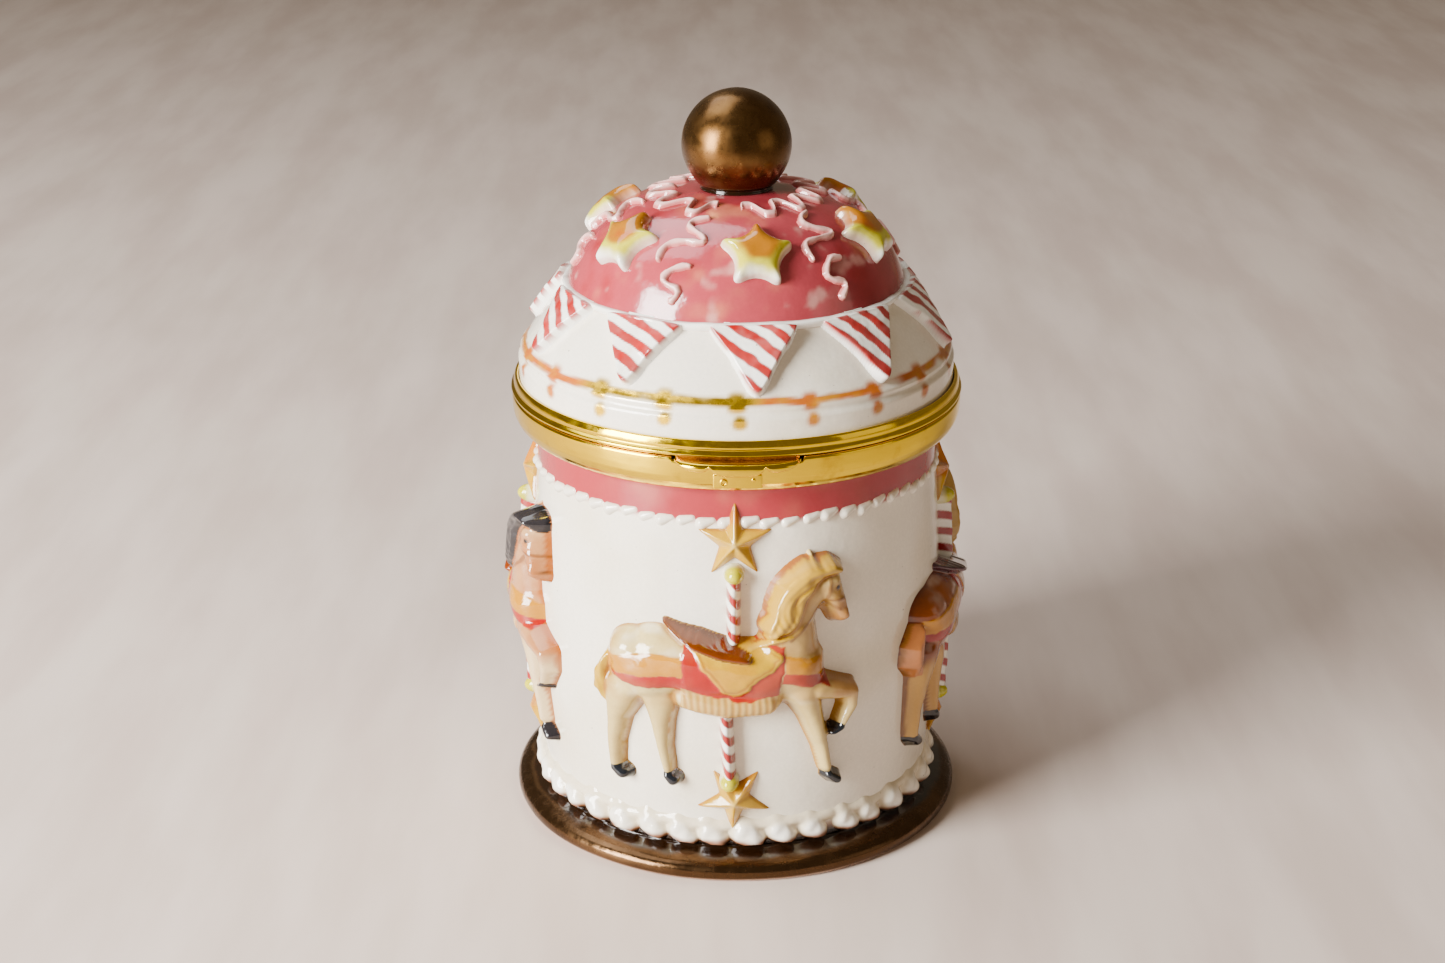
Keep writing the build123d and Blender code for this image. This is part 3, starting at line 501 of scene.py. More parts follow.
def glaze(name, speck_share, pool):
    """Painted clay under clear gloss glaze; the paint's alpha marks fired metal lustre."""
    shade = Shader(name)
    paint = shade.add("Attribute", attribute_name="paint")
    metallic = paint.outputs["Alpha"]
    clay = shade.math("SUBTRACT", 1.0, metallic)
    veil = rgba((0.93, 0.90, 0.84))
    colour = shade.blend(shade.cloud(9, 4, 0.3, 0.7), paint.outputs["Color"], veil, "MULTIPLY")
    colour = shade.blend(pool, paint.outputs["Color"], colour)
    grain = shade.cloud(0.7, 2, 0.35, 0.75, 0.97, 1.03)
    grey = shade.add("CombineColor", {0: grain, 1: grain, 2: grain}).outputs[0]
    colour = shade.blend(1.0, colour, grey, "MULTIPLY")
    dots = shade.math("MAXIMUM", shade.specks(3.4, 0.34, speck_share), shade.specks(1.7, 0.17, speck_share))
    dots = shade.math("MULTIPLY", shade.math("MULTIPLY", dots, clay), 0.62)
    colour = shade.blend(dots, colour, rgba(srgb(0.42, 0.28, 0.17)))
    gloss = shade.cloud(5, 3, 0.3, 0.7, 0.07, 0.17)
    lustre = shade.cloud(2.2, 4, 0.3, 0.7, 0.17, 0.33)
    roughness = shade.add("Mix", {0: metallic, 2: gloss, 3: lustre}).outputs[0]
    ripple = shade.bump(shade.noise(6.5, 3), 0.6, 0.34)
    peel = shade.bump(shade.noise(0.8, 2), 0.10, 0.05, ripple)
    return shade.finish(
        Base_Color=colour, Metallic=metallic, Roughness=roughness, Normal=peel,
        Coat_Weight=shade.math("MULTIPLY", clay, 0.4), Coat_Roughness=0.07, IOR=1.5,
    )


def bronze_lustre():
    """Fired bronze lustre, soft as burnished metal, over a dark glaze that pools at the neck's foot, also
    painted shade under the ball.
    """
    shade = Shader("bronze_lustre")
    colour = shade.blend(
        shade.cloud(7, 5, 0.32, 0.68), rgba(srgb(0.36, 0.26, 0.16) * 1.4), rgba(srgb(0.46, 0.35, 0.23) * 1.4)
    )
    colour = shade.blend(shade.cloud(1.1, 3, 0.55, 0.75, 0.0, 0.35), colour, rgba(srgb(0.28, 0.18, 0.11)))
    height = shade.add("SeparateXYZ", {0: shade.where}).outputs[2]
    # near black and less metallic below the ball's foot: pooled dark glaze and painted shade under the ball
    pooled_and_shaded = shade.ramp(height, (NECK_Z + 0.5) * MM, (NECK_Z - 0.5) * MM)
    colour = shade.blend(pooled_and_shaded, colour, rgba(POOL_AND_SHADE))
    roughness = shade.cloud(2.6, 4, 0.3, 0.7, 0.23, 0.33)
    roughness = shade.math("MULTIPLY", roughness, shade.ramp(pooled_and_shaded, 0.0, 1.0, 1.0, 0.35))
    grain = shade.bump(shade.noise(0.35, 2), 0.10, 0.03, shade.bump(shade.noise(6, 2), 0.3, 0.2))
    metallic = shade.ramp(pooled_and_shaded, 0.0, 1.0, 0.96, 0.1)
    return shade.finish(Base_Color=colour, Metallic=metallic, Roughness=roughness, Normal=grain)


def gilt():
    """Gold-plated brass ring, spun round Z, with polish lines and a little brown in the hollows."""
    shade = Shader("gilt_brass")
    tarnish = shade.cloud(5, 5, 0.55, 0.8, 0.0, 0.5)
    colour = shade.blend(tarnish, rgba(srgb(0.98, 0.84, 0.32) * 1.6), rgba(srgb(0.78, 0.58, 0.12) * 1.4))
    lines = shade.noise(0.16, 3, (60, 60, 1))
    waves = shade.bump(shade.noise(3.2, 2, (1.6, 1.6, 0.8)), 0.28, 0.16)
    return shade.finish(
        Base_Color=colour, Metallic=1.0, Roughness=shade.cloud(3, 4, 0.3, 0.7, 0.09, 0.20),
        Normal=shade.bump(lines, 0.12, 0.03, waves),
    )


def metal(name, colour, dark, low, high, stretch, size):
    """Machined metal: tool marks along the stretched axes, stains, and polish that varies."""
    shade = Shader(name)
    tone = shade.blend(shade.cloud(4, 5, 0.42, 0.78, 0.0, 0.7), rgba(colour), rgba(dark))
    marks = shade.noise(size, 3, stretch)
    tone = shade.blend(shade.ramp(marks, 0.35, 0.65, 0.0, 0.25), tone, rgba(dark))
    roughness = shade.cloud(1.5, 4, 0.3, 0.7, low, high)
    normal = shade.bump(marks, 0.2, 0.05)
    return shade.finish(Base_Color=tone, Metallic=1.0, Roughness=roughness, Normal=normal)


def moulded(name, colour):
    """Moulded plastic or lacquered board with fine spark texture and handling marks."""
    shade = Shader(name)
    tone = shade.blend(shade.cloud(6, 4, 0.3, 0.7, 0.0, 0.35), rgba(colour), rgba(colour * 0.7))
    roughness = shade.cloud(2, 4, 0.3, 0.7, 0.38, 0.6)
    normal = shade.bump(shade.noise(0.25, 2), 0.25, 0.05)
    return shade.finish(Base_Color=tone, Roughness=roughness, Normal=normal)


def felt():
    """Crimson wool felt: matted fibres that run every way, paler where they stand up."""
    shade = Shader("crimson_felt")
    fibres = shade.math("MAXIMUM", shade.noise(0.5, 4, (4, 1, 1)), shade.noise(0.5, 4, (1, 4, 1)))
    dark, light = rgba(srgb(0.42, 0.05, 0.10)), rgba(srgb(0.68, 0.16, 0.20))
    tone = shade.blend(shade.ramp(fibres, 0.45, 0.75), dark, light)
    tone = shade.blend(shade.cloud(12, 3, 0.35, 0.7, 0.0, 0.35), tone, rgba(srgb(0.34, 0.04, 0.08)))
    return shade.finish(
        Base_Color=tone, Roughness=0.95, Sheen_Weight=0.7, Sheen_Roughness=0.5,
        Normal=shade.bump(fibres, 0.7, 0.25),
    )


# ---- glaze colours ------------------------------------------------------------------------------
CREAM = srgb(0.95, 0.92, 0.86)
CREAM_THIN = srgb(0.89, 0.82, 0.67)
WHITE = srgb(0.97, 0.96, 0.93)
ROSE = srgb(0.78, 0.37, 0.40)
ROSE_DEEP = srgb(0.67, 0.18, 0.22)
SALMON = srgb(0.90, 0.56, 0.47)
COLLAR = srgb(0.76, 0.29, 0.32)
CORAL = srgb(0.80, 0.03, 0.03)
OCHRE = srgb(0.95, 0.67, 0.04)
OCHRE_PALE = srgb(0.97, 0.78, 0.15)
ORANGE = srgb(0.93, 0.53, 0.03)
LEMON = srgb(0.98, 0.94, 0.30)
GILT = srgb(0.98, 0.82, 0.28) * 1.6
BRONZE = srgb(0.35, 0.26, 0.18) * 1.1
BRONZE_PALE = srgb(0.48, 0.37, 0.27) * 1.1
# near black: pooled dark glaze, and painted shade under the scallops and under the finial ball
POOL_AND_SHADE = srgb(0.13, 0.07, 0.03)
HALO = srgb(0.64, 0.36, 0.10)
BISQUE = srgb(0.80, 0.66, 0.56)
BISQUE_DARK = srgb(0.68, 0.52, 0.42)
SLIP = srgb(0.90, 0.55, 0.54)
SLIP_THICK = srgb(0.95, 0.76, 0.73)


# ---- the jar ------------------------------------------------------------------------------------
SCALLOPS = 38
BEADS = 64
BEAD_Z = 77.9
SCALLOP_Z = 8.2
WALL_FOOT, WALL_TOP = 5.7, 85.1
FLANGE = [
    (36.8, 12.2), (37.9, 0.7), (38.5, 0.1), (39.2, 0), (47.6, 0), (48.3, 0.3), (48.7, 0.9), (48.8, 1.7),
    (48.7, 2.5), (48.2, 3.2), (47.2, 3.8), (45.4, 4.4), (44.0, 4.8), (43.1, 5.2), (42.75, 5.7),
]
RIM = [
    (42.4, 85.3), (43.3, 86.7), (45.8, 89.0), (46.2, 89.6), (46.2, 91.2), (45.8, 91.8), (39.8, 91.8),
    (39.25, 91.3),
]
CHAMBER = [(39.2, 60), (39.2, 50.3), (38.9, 50.0), (38.2, 49.9), (38.2, 17.0), (37.8, 16.2), (36.5, 16.0)]
FLOOR_Z, FLOOR_HALF, FLOOR_R = 14.0, 1.95, 36.75
KEY_BORE_R, SCREW_BORE_R = 4.0, 1.7


def paint_jar(points):
    """Cream wall, rose collar, lustre flange with brown pooling above it, painted shade under the scallops,
    bare clay underneath.
    """
    z = points[..., 2]
    r = np.hypot(points[..., 0], points[..., 1])
    outer = r > 41
    wander = noise(points, 5, 3)
    colour = mix(CREAM, CREAM_THIN, 0.45 * patches(points, 22, 5, -0.2, 0.9))
    rose = mix(COLLAR, ROSE_DEEP, 0.35 * patches(points, 9, 7, 0, 0.8))
    rose = mix(rose, SALMON, 0.35 * patches(points, 12, 11, 0.1, 0.9))
    colour = mix(colour, rose, step(BEAD_Z - 0.5, BEAD_Z + 0.2, z + 0.25 * wander) * outer)
    low = z + 0.5 * wander
    colour = mix(colour, HALO, step(9.2, 7.4, low) * 0.8 * outer)
    # near black at the wall's foot and the flange's inner edge, under the scallops: pooled dark glaze and
    # painted shade
    colour = mix(colour, POOL_AND_SHADE, step(7.9, 6.4, low) * outer)
    lustre = step(44.8, 46.2, r + 0.9 * wander) * (z < 5.5)
    colour = mix(colour, mix(BRONZE, BRONZE_PALE, patches(points, 10, 13, -0.3, 0.8)), lustre)
    bare = step(0.9, 0.45, z) + step(48.0, 44.0, r) * (z < 0.3) + (r < 38.3) * (z < 12.5)
    bare = np.clip(bare, 0, 1)
    colour = mix(colour, mix(BISQUE, BISQUE_DARK, patches(points, 5, 17, 0, 0.7)), bare)
    return paint_of(colour, 0.92 * lustre * (1 - bare))


def build_jar(skin, clay):
    wall = np.stack([skin.r, skin.z], axis=-1)[2::6]
    inner = smooth_outline(CHAMBER, 1.5)
    outline = np.concatenate([smooth_outline(FLANGE, 0.35), wall, smooth_outline(RIM, 0.5), inner])
    lathe("jar_wall", outline, clay, "jar", "jar_body", 0.16, 21, paint_jar)
    build_floor(clay)
    rng = np.random.default_rng(5)
    build_beads(skin, clay, rng)
    build_scallops(skin, clay, rng)


def build_floor(clay):
    """Floor of the jar over the recess, pierced for the key and the three screws."""
    curve = bpy.data.curves.new("jar_floor", "CURVE")
    curve.dimensions = "2D"
    curve.fill_mode = "BOTH"
    curve.extrude = FLOOR_HALF * MM
    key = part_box("winding_arbor")
    rings = [(0, 0, FLOOR_R, 96), ((key[0].x + key[1].x) / 2 / MM, 0, KEY_BORE_R, 32)]
    rings += [(x, y, SCREW_BORE_R, 32) for x, y in screw_spots()]
    for x, y, radius, count in rings:
        ring = curve.splines.new("POLY")
        ring.points.add(count - 1)
        for i, point in enumerate(ring.points):
            angle = TAU * i / count
            point.co = ((x + radius * math.cos(angle)) * MM, (y + radius * math.sin(angle)) * MM, 0, 1)
        ring.use_cyclic_u = True
    source = link("floor_source", curve)
    mesh = bpy.data.meshes.new_from_object(source)
    bpy.data.objects.remove(source)
    points = np.array([v.co for v in mesh.vertices]) / MM + (0, 0, FLOOR_Z)
    faces = [list(p.vertices) for p in mesh.polygons]
    floor = make_piece("jar_floor", points, faces, clay, "jar", ["jar_body"], paint_jar(points))
    floor.data.polygons.foreach_set("use_smooth", [False] * len(floor.data.polygons))


def screw_spots():
    """Centres of the three fixing screws, from the washers' separate rings."""
    points = np.array([v.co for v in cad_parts["screw_washers"].data.vertices]) / MM
    spots = []
    for x, y, _ in points:
        if all(math.hypot(x - sx, y - sy) > 8 for sx, sy in spots):
            near = points[np.hypot(points[:, 0] - x, points[:, 1] - y) < 8]
            middle = (near.min(axis=0) + near.max(axis=0)) / 2
            spots.append((middle[0], middle[1]))
    return spots


def row_grid(skin, low_z, high_z, spacing):
    """Grid all the way round the wall between two heights, with each point's own height."""
    reach = float(skin.radius(skin.s_at((low_z + high_z) / 2)))
    turn, s = skin.ring(skin.s_at(low_z), skin.s_at(high_z), spacing, int(TAU * reach / spacing))
    return turn, s, skin.height(s)


def build_beads(skin, clay, rng):
    """Leaning beads of slip piped under the collar."""
    turn, s, z = row_grid(skin, BEAD_Z - 3, BEAD_Z + 3, 0.32)
    field = np.full(turn.shape, -1.0)
    for i in range(BEADS):
        x = arc_from(turn, (i + 0.5) * TAU / BEADS + rng.uniform(-0.006, 0.006)) * 42.5
        y = z - BEAD_Z - rng.uniform(-0.3, 0.3)
        size = rng.uniform(0.85, 1.15)
        bead = limb(x, y, [(-0.6, -0.25, 1.25 * size, 0.85 * size), (1.6, 0.45, 0.7, 0.35)], 2.0)
        field = np.maximum(field, bead)
    field = field + 0.08 * noise(skin.place(turn, s, field), 1.6, 31)
    colour = mix(CREAM, SALMON, 0.5 * step(0.45, 0.0, field) * step(-0.5, 1, z - BEAD_Z))
    relief("collar_piping", skin, (turn, s), field, colour, clay, "jar", ["collar_beads"])


def build_scallops(skin, clay, rng):
    """Scallops of slip piped on the flange, their lower rims browned by the dark glaze and darkened below
    with painted shade.
    """
    spacing = 0.3
    turn, s, z = row_grid(skin, 5.2, 14.5, spacing)
    field = np.full(turn.shape, -1.0)
    for i in range(SCALLOPS):
        x = arc_from(turn, (i + 0.42) * TAU / SCALLOPS + rng.uniform(-0.012, 0.012)) * 43
        y = z - SCALLOP_Z - rng.uniform(-0.35, 0.35)
        size = rng.uniform(0.9, 1.12)
        body = (-0.9, 0.3, 3.0 * size, 1.9 * size), (0.9, -1.1, 2.5 * size, 2.0 * size)
        joints = [(-1.6, 1.9, 2.2, 0.7), *body]
        shell = limb(x, y, joints, 2.3)
        shell = shell - 0.12 * step(0.6, 1.6, shell) * np.cos(TAU * np.hypot(x + 3.2, y - 2.4) / 3.1)
        field = blend_max(field, shell, 4.0)
        field = blend_max(field, limb(x, y, [(-1.5, 1.9, 1.5, 0.9), (3.8, 2.2, 1.2, 0.6)], 2.0), 4.0)
    points = skin.place(turn, s, field)
    field = ease_walls(field + 0.14 * noise(points, 2.4, 33), spacing, 1.4)
    under = z - SCALLOP_Z + 0.5 * noise(points, 3, 35)
    colour = mix(CREAM, CREAM_THIN, 0.6 * step(1.6, 0.6, field))
    colour = mix(colour, WHITE, 0.8 * patches(points, 6, 37, -0.3, 0.6) * step(1.0, 1.8, field))
    brown = np.maximum(step(-0.3, -1.5, under) * step(2.7, 1.7, field), step(-1.5, -2.6, under))
    # near black low on each scallop: pooled dark glaze and painted shade underneath
    dark = np.maximum(step(-1.1, -2.1, under) * step(1.9, 1.0, field), step(-2.5, -3.4, under))
    colour = mix(mix(colour, HALO, 0.9 * brown), POOL_AND_SHADE, dark)
    relief("foot_piping", skin, (turn, s), field, colour, clay, "jar", ["foot_scallops"])


# ---- the horses ---------------------------------------------------------------------------------
HORSE_GRID = 0.23
HORSE_BODY = [
    [(-16, 48, 7.6, 5.0), (-4, 47, 7.1, 4.9), (9, 46.3, 7.6, 5.2)],  # trunk
    [(-20.5, 49.2, 5.2, 5.0), (-18.5, 45.8, 7.2, 5.4), (-16.5, 45, 7.4, 5.3)],  # haunch
    [(11.2, 47, 6.6, 5.4), (12.4, 43.5, 5.4, 4.8)],  # shoulder
    [(9.6, 50.5, 7.0, 5.0), (10.6, 58, 4.9, 4.6), (14.6, 64.6, 4.4, 4.5)],  # neck
    [(17.0, 65.2, 3.6, 5.0), (18.8, 60.5, 2.7, 4.8), (19.8, 57.6, 2.2, 4.4)],  # head
    [(-9.4, 41.0, 3.9, 4.2), (-2.0, 39.9, 3.9, 4.6), (5.6, 40.4, 3.9, 4.4)],  # girth under the fringe
]
HORSE_LEGS = [
    [(-22, 41, 4.9, 4.8), (-23.7, 34.2, 2.7, 3.8), (-24.4, 28.2, 1.9, 3.2), (-24.5, 22.8, 1.6, 3.0)],
    [(-15.3, 39.5, 4.2, 4.0), (-15.1, 34.6, 2.7, 3.2), (-14.7, 28.8, 1.8, 2.8), (-13.9, 23.8, 1.5, 2.7)],
    [(13, 41.5, 4.3, 4.6), (14.7, 36.4, 2.8, 3.8), (16.9, 28.8, 1.8, 3.1), (18.2, 23.2, 1.5, 2.8)],
    [(15.5, 42.3, 3.4, 4.9), (21.9, 40.4, 2.3, 4.4), (22.3, 37, 1.9, 3.9), (20.8, 33.6, 1.5, 3.4)],
]
HORSE_HOOVES = [
    [(-24.3, 21.6, 1.6, 3.2), (-23.1, 20.5, 1.9, 3.2)],
    [(-13.8, 22.2, 1.5, 3.0), (-12.8, 21.3, 1.9, 3.0)],
    [(18.6, 21.3, 1.4, 2.9), (20.2, 19.9, 1.6, 3.0)],
    [(20.4, 32.4, 1.4, 3.5), (18.9, 31.5, 1.3, 3.4)],
]
HORSE_TAIL = [
    (-25.0, 47.6, 1.2, 3.8), (-26.1, 43.6, 2.0, 4.2), (-26.2, 40.2, 2.2, 4.1), (-25.3, 37.6, 1.5, 3.2),
]
HORSE_MANE = [
    (18.4, 70.3), (15.0, 70.7), (11.6, 69.8), (8.4, 67.6), (6.1, 64.2), (4.6, 60.4), (3.8, 56.8),
    (4.2, 54.2), (6.2, 53.4), (9.0, 54.2), (11.4, 56.4), (12.8, 59.6), (13.8, 63.0), (15.4, 65.8),
    (18.0, 66.6), (19.9, 65.8), (21.0, 67.2), (20.2, 69.4),
]
MANE_LOCKS = [
    [(17.5, 69.0, 1.1, 0.9), (12.6, 67.6, 1.5, 0.9), (9.6, 63.6, 1.5, 0.9), (8.6, 58.5, 1.3, 0.9),
     (6.8, 55.0, 0.8, 0.8)],
    [(14.5, 69.9, 0.9, 0.9), (9.6, 66.9, 1.2, 0.9), (6.9, 62.4, 1.2, 0.9), (6.0, 58.0, 1.1, 0.9),
     (5.0, 55.2, 0.7, 0.8)],
    [(15.2, 66.6, 1.1, 0.9), (12.4, 63.4, 1.3, 0.9), (11.2, 59.2, 1.2, 0.9), (9.2, 56.0, 0.8, 0.8)],
    [(16.2, 68.0, 1.0, 0.9), (18.6, 67.4, 1.0, 0.9), (20.4, 66.6, 0.6, 0.8)],
    [(18.0, 69.6, 0.8, 0.8), (20.2, 68.4, 0.7, 0.8)],
]
STRAY_LOCK = [(9.8, 55.2, 0.9, 5.4), (6.2, 54.2, 0.75, 6.3), (2.4, 52.6, 0.45, 6.8)]
EAR = [(14.8, 69.4, 1.0, 5.4), (14.5, 70.9, 0.6, 5.2)]
EYE = (18.2, 64.3)
SADDLE = [
    (-14.4, 56.6, 0.7, 4.6), (-11.2, 55.2, 1.2, 5.8), (-7.6, 53.9, 2.0, 6.6), (-3, 52.3, 2.1, 6.9),
    (1.8, 51.0, 1.4, 6.5),
]
SADDLE_CLOTH = [
    (-9.6, 53.4), (-7.2, 50.9), (-6.5, 48.9), (-5, 47.4), (-3.9, 45.8), (-3, 43.7), (-0.1, 42.5), (2.1, 44.3),
    (3.4, 45.9), (4.8, 47.4), (6.5, 48.6), (8.3, 50.8), (7.4, 52.5), (4.3, 53.8), (-3, 55.6),
]
BLANKET = [
    (-10.1, 52.6), (-10.1, 43.7), (-2.8, 42.1), (2.5, 41.6), (7.7, 42.6), (8.3, 48.2), (8.6, 53.4),
    (-2, 55.4),
]
FRINGE = [
    (-10.6, 43.9), (-10.4, 39.4), (-3.2, 36.0), (4.3, 36.2), (7.6, 38.4), (7.9, 42.8), (2.5, 41.8),
    (-2.8, 42.3),
]
RUMP_STRAP = [(-24.5, 48.9), (-16, 50.6), (-10.0, 50.7), (-10.0, 46.4), (-17, 46.0), (-24.4, 45.4)]
RUMP_BAND = [(-24.4, 45.4), (-17, 46.0), (-10.0, 46.4), (-10.1, 43.2), (-18.5, 43.2), (-23.6, 44.2)]
BREAST_STRAP = [(8.6, 51.2), (15.6, 50.2), (18.0, 48.6), (17.8, 45.6), (13.4, 46.8), (8.4, 48.0)]
BREAST_BAND = [(8.4, 48.0), (13.4, 46.8), (17.8, 45.6), (17.4, 43.4), (13.2, 44.3), (8.2, 45.4)]
BRIDLE = [
    [(17.0, 66.6), (16.2, 61.5), (18.6, 59.6)],
    [(16.9, 61.9), (21.3, 61.6)],
    [(16.2, 61.5), (13.0, 57.4), (9.6, 54.4)],
]
HOOF = srgb(0.12, 0.11, 0.12)
HORSE_COLOURS = {  # body, dark of body, legs, mane, dark of mane, saddle, cloth, hooves, tail
    "front": [
        srgb(0.94, 0.85, 0.60), srgb(0.80, 0.56, 0.18), srgb(0.89, 0.79, 0.54), srgb(0.97, 0.77, 0.14),
        srgb(0.74, 0.45, 0.05), srgb(0.50, 0.26, 0.12), OCHRE_PALE, srgb(0.10, 0.11, 0.13), OCHRE_PALE,
    ],
    "right": [
        srgb(0.76, 0.44, 0.18), srgb(0.50, 0.24, 0.08), srgb(0.93, 0.74, 0.44), srgb(0.90, 0.72, 0.40),
        srgb(0.64, 0.42, 0.18), srgb(0.36, 0.22, 0.26), OCHRE, HOOF, srgb(0.84, 0.56, 0.38),
    ],
    "back": [
        srgb(0.80, 0.79, 0.77), srgb(0.55, 0.53, 0.52), srgb(0.90, 0.88, 0.85), srgb(0.42, 0.24, 0.13),
        srgb(0.22, 0.11, 0.06), srgb(0.55, 0.27, 0.12), OCHRE_PALE, HOOF, srgb(0.48, 0.29, 0.16),
    ],
    "left": [
        srgb(0.94, 0.78, 0.60), srgb(0.78, 0.44, 0.18), srgb(0.94, 0.84, 0.66), srgb(0.15, 0.14, 0.15),
        srgb(0.05, 0.05, 0.06), srgb(0.60, 0.30, 0.13), OCHRE_PALE, HOOF, srgb(0.16, 0.15, 0.16),
    ],
}


def sculpt_body(x, y):
    """Height fields of the horse's clay, of its legs and of its hooves."""
    body = np.full(x.shape, -3.0)
    for joints in HORSE_BODY:
        body = blend_max(body, limb(x, y, joints, 2.6), 2.6)
    legs = highest([limb(x, y, joints) for joints in HORSE_LEGS])
    hooves = highest([limb(x, y, joints, 3.0) for joints in HORSE_HOOVES])
    clay = blend_max(blend_max(body, legs, 2.2), hooves, 5.0)
    clay = clay - 0.9 * knob(x, y, -14, 41, 3.0)  # fold of the flank
    clay = clay - 0.7 * knob(x, y, 9.0, 42.5, 2.6)  # behind the elbow
    clay = clay - 0.6 * knob(x, y, 15.2, 60.2, 1.8)  # under the jaw
    return clay, legs, hooves


def sculpt_hair(x, y, where, seed):
    """Height fields of the mane with its stray lock, and of the tail."""
    tail = limb(x, y, HORSE_TAIL)
    strands = np.cos(TAU * (x + 0.35 * np.sin(y / 2.2 + seed)) / 1.05)
    tail = np.where(tail > 0, tail + 0.28 * strands * step(0, 1.5, tail), tail)
    edge_x, edge_y = x + 0.45 * noise(where, 2.6, 39), y + 0.45 * noise(where, 2.6, 40)
    depth = inside(edge_x, edge_y, loop(HORSE_MANE, 1))
    mane = 5.6 * np.sqrt(1 - (1 - np.clip(depth / 2.8, 0, 1)) ** 2.4) - 4 * (depth < 0)
    locks = highest([limb(edge_x, edge_y, joints, 2.0) for joints in MANE_LOCKS])
    groove = np.cos(TAU * (np.hypot(x - 17, y - 60) + 0.5 * np.sin(y / 1.7)) / 1.25)
    mane = mane + (0.75 * np.clip(locks, 0, 1) + 0.12 * groove) * step(0, 1.5, depth)
    return np.maximum(mane, limb(x, y, STRAY_LOCK, 2.0)), tail


def sculpt_horse(x, y, seed):
    """Height field of one horse in relief, with masks of where each colour of glaze lies."""
    where = sheet(x, y, seed * 7.0)
    clay, legs, hooves = sculpt_body(x, y)
    hair, tail = sculpt_hair(x, y, where, seed)

    height = blend_max(clay, limb(x, y, EAR, 2.2), 5.0)
    cheek = 0.55 * knob(x, y, 16.4, 62.6, 1.9)
    brow = 0.5 * knob(x, y, 18.4, 65.6, 1.0)
    muzzle = 0.5 * knob(x, y, 20.2, 58.2, 1.2)
    socket = 0.45 * knob(x, y, *EYE, 0.75)
    nostril = 0.8 * knob(x, y, 21.3, 58.3, 0.42)
    mouth = 0.5 * np.exp(-(((y - 56.9 - 0.15 * (x - 20)) / 0.28) ** 2)) * step(18.8, 19.6, x)
    height = height + (cheek + brow + muzzle - socket - nostril - mouth) * (clay > 1)
    from_eye = np.hypot(x - EYE[0], y - EYE[1])
    height = height + 0.55 * np.clip(1 - (from_eye / 0.52) ** 2, 0, 1)

    warp_x = x + 0.35 * noise(where, 2.2, 41) + 0.15 * noise(where, 0.8, 42)
    warp_y = y + 0.35 * noise(where, 2.2, 43) + 0.15 * noise(where, 0.8, 44)

    def region(corners, rounds=0):
        return inside(warp_x, warp_y, loop(corners, rounds))

    strap = np.maximum(region(RUMP_STRAP), region(BREAST_STRAP))
    band = np.maximum(region(RUMP_BAND), region(BREAST_BAND))
    blanket, cloth, fringe = region(BLANKET), region(SADDLE_CLOTH, 1), region(FRINGE)
    pleats = 0.5 + 0.5 * np.cos(TAU * (x + 0.12 * (y - 40) ** 2 / 3) / 1.25)
    border = np.exp(-(((cloth - 0.75) / 0.22) ** 2))
    on = step(0.8, 2.2, height)
    height = height + 0.32 * on * step(-0.15, 0.35, strap)
    height = height + 0.24 * on * step(-0.15, 0.3, band)
    height = height + on * step(-0.2, 0.3, fringe) * (0.30 + 0.20 * pleats)
    height = height + 0.40 * on * step(-0.2, 0.35, blanket)
    height = height + 0.55 * on * step(-0.2, 0.4, cloth)
    height = height - 0.18 * border * on
    saddle = limb(x, y, SADDLE, 2.8) - 0.30 * knob(x, y, -4.5, 54.6, 1.4)
    height = highest([height, hair, tail, saddle])
    pieces = [from_line(x, y, a, b)[1] for line in BRIDLE for a, b in zip(line, line[1:])]
    reins = np.minimum.reduce(pieces)
    height = height + 0.28 * step(0.5, 0.15, reins) * (hair < height - 0.3) * (height > 1)
    muscles = 0.16 * noise(where, 4.6, 45) + 0.07 * noise(where, 1.5, 46)
    height = round_over(height + muscles * step(0, 1.2, height), HORSE_GRID, 3.4, 6.4)
    height = blur(ease_walls(height, HORSE_GRID, 3.2), 1.0)

    chest = step(7, 12, x) * step(57, 53, y) * step(38, 42, y)
    neck = step(9.5, 6, np.abs(y - 58)) * (x > 8)
    belly = step(42, 38.5, y) * step(30, 36, y)
    masks = {
        "hair": step(-0.25, 0.1, hair - clay) * (hair > 0),
        "tail": (tail > clay) * (tail > 0) * 1.0,
        "leg": step(41.5, 37.5, y + 0.6 * noise(where, 3, 47)),
        "hoof": step(-0.05, 0.15, hooves - legs + 0.35) * (hooves > -0.3),
        "strap": step(-0.12, 0.12, strap),
        "band": step(-0.12, 0.12, band),
        "blanket": step(-0.12, 0.12, blanket),
        "cloth": step(-0.1, 0.12, cloth),
        "border": border,
        "fringe": step(-0.12, 0.12, fringe),
        "gaps": 1 - pleats,
        "saddle": step(-0.1, 0.25, saddle + 0.2 - clay) * (saddle > 0),
        "reins": step(0.42, 0.22, reins),
        "eye": step(0.66, 0.50, from_eye),
        "iris": step(0.46, 0.34, np.hypot(x - EYE[0] - 0.1, y - EYE[1])),
        "nose": nostril,
        "muzzle": step(63.0, 60.5, y) * step(17.0, 18.4, x) * (hair < clay),
        "wash": highest([chest, step(-20, -24.5, x), neck, belly]),
    }
    return height, masks


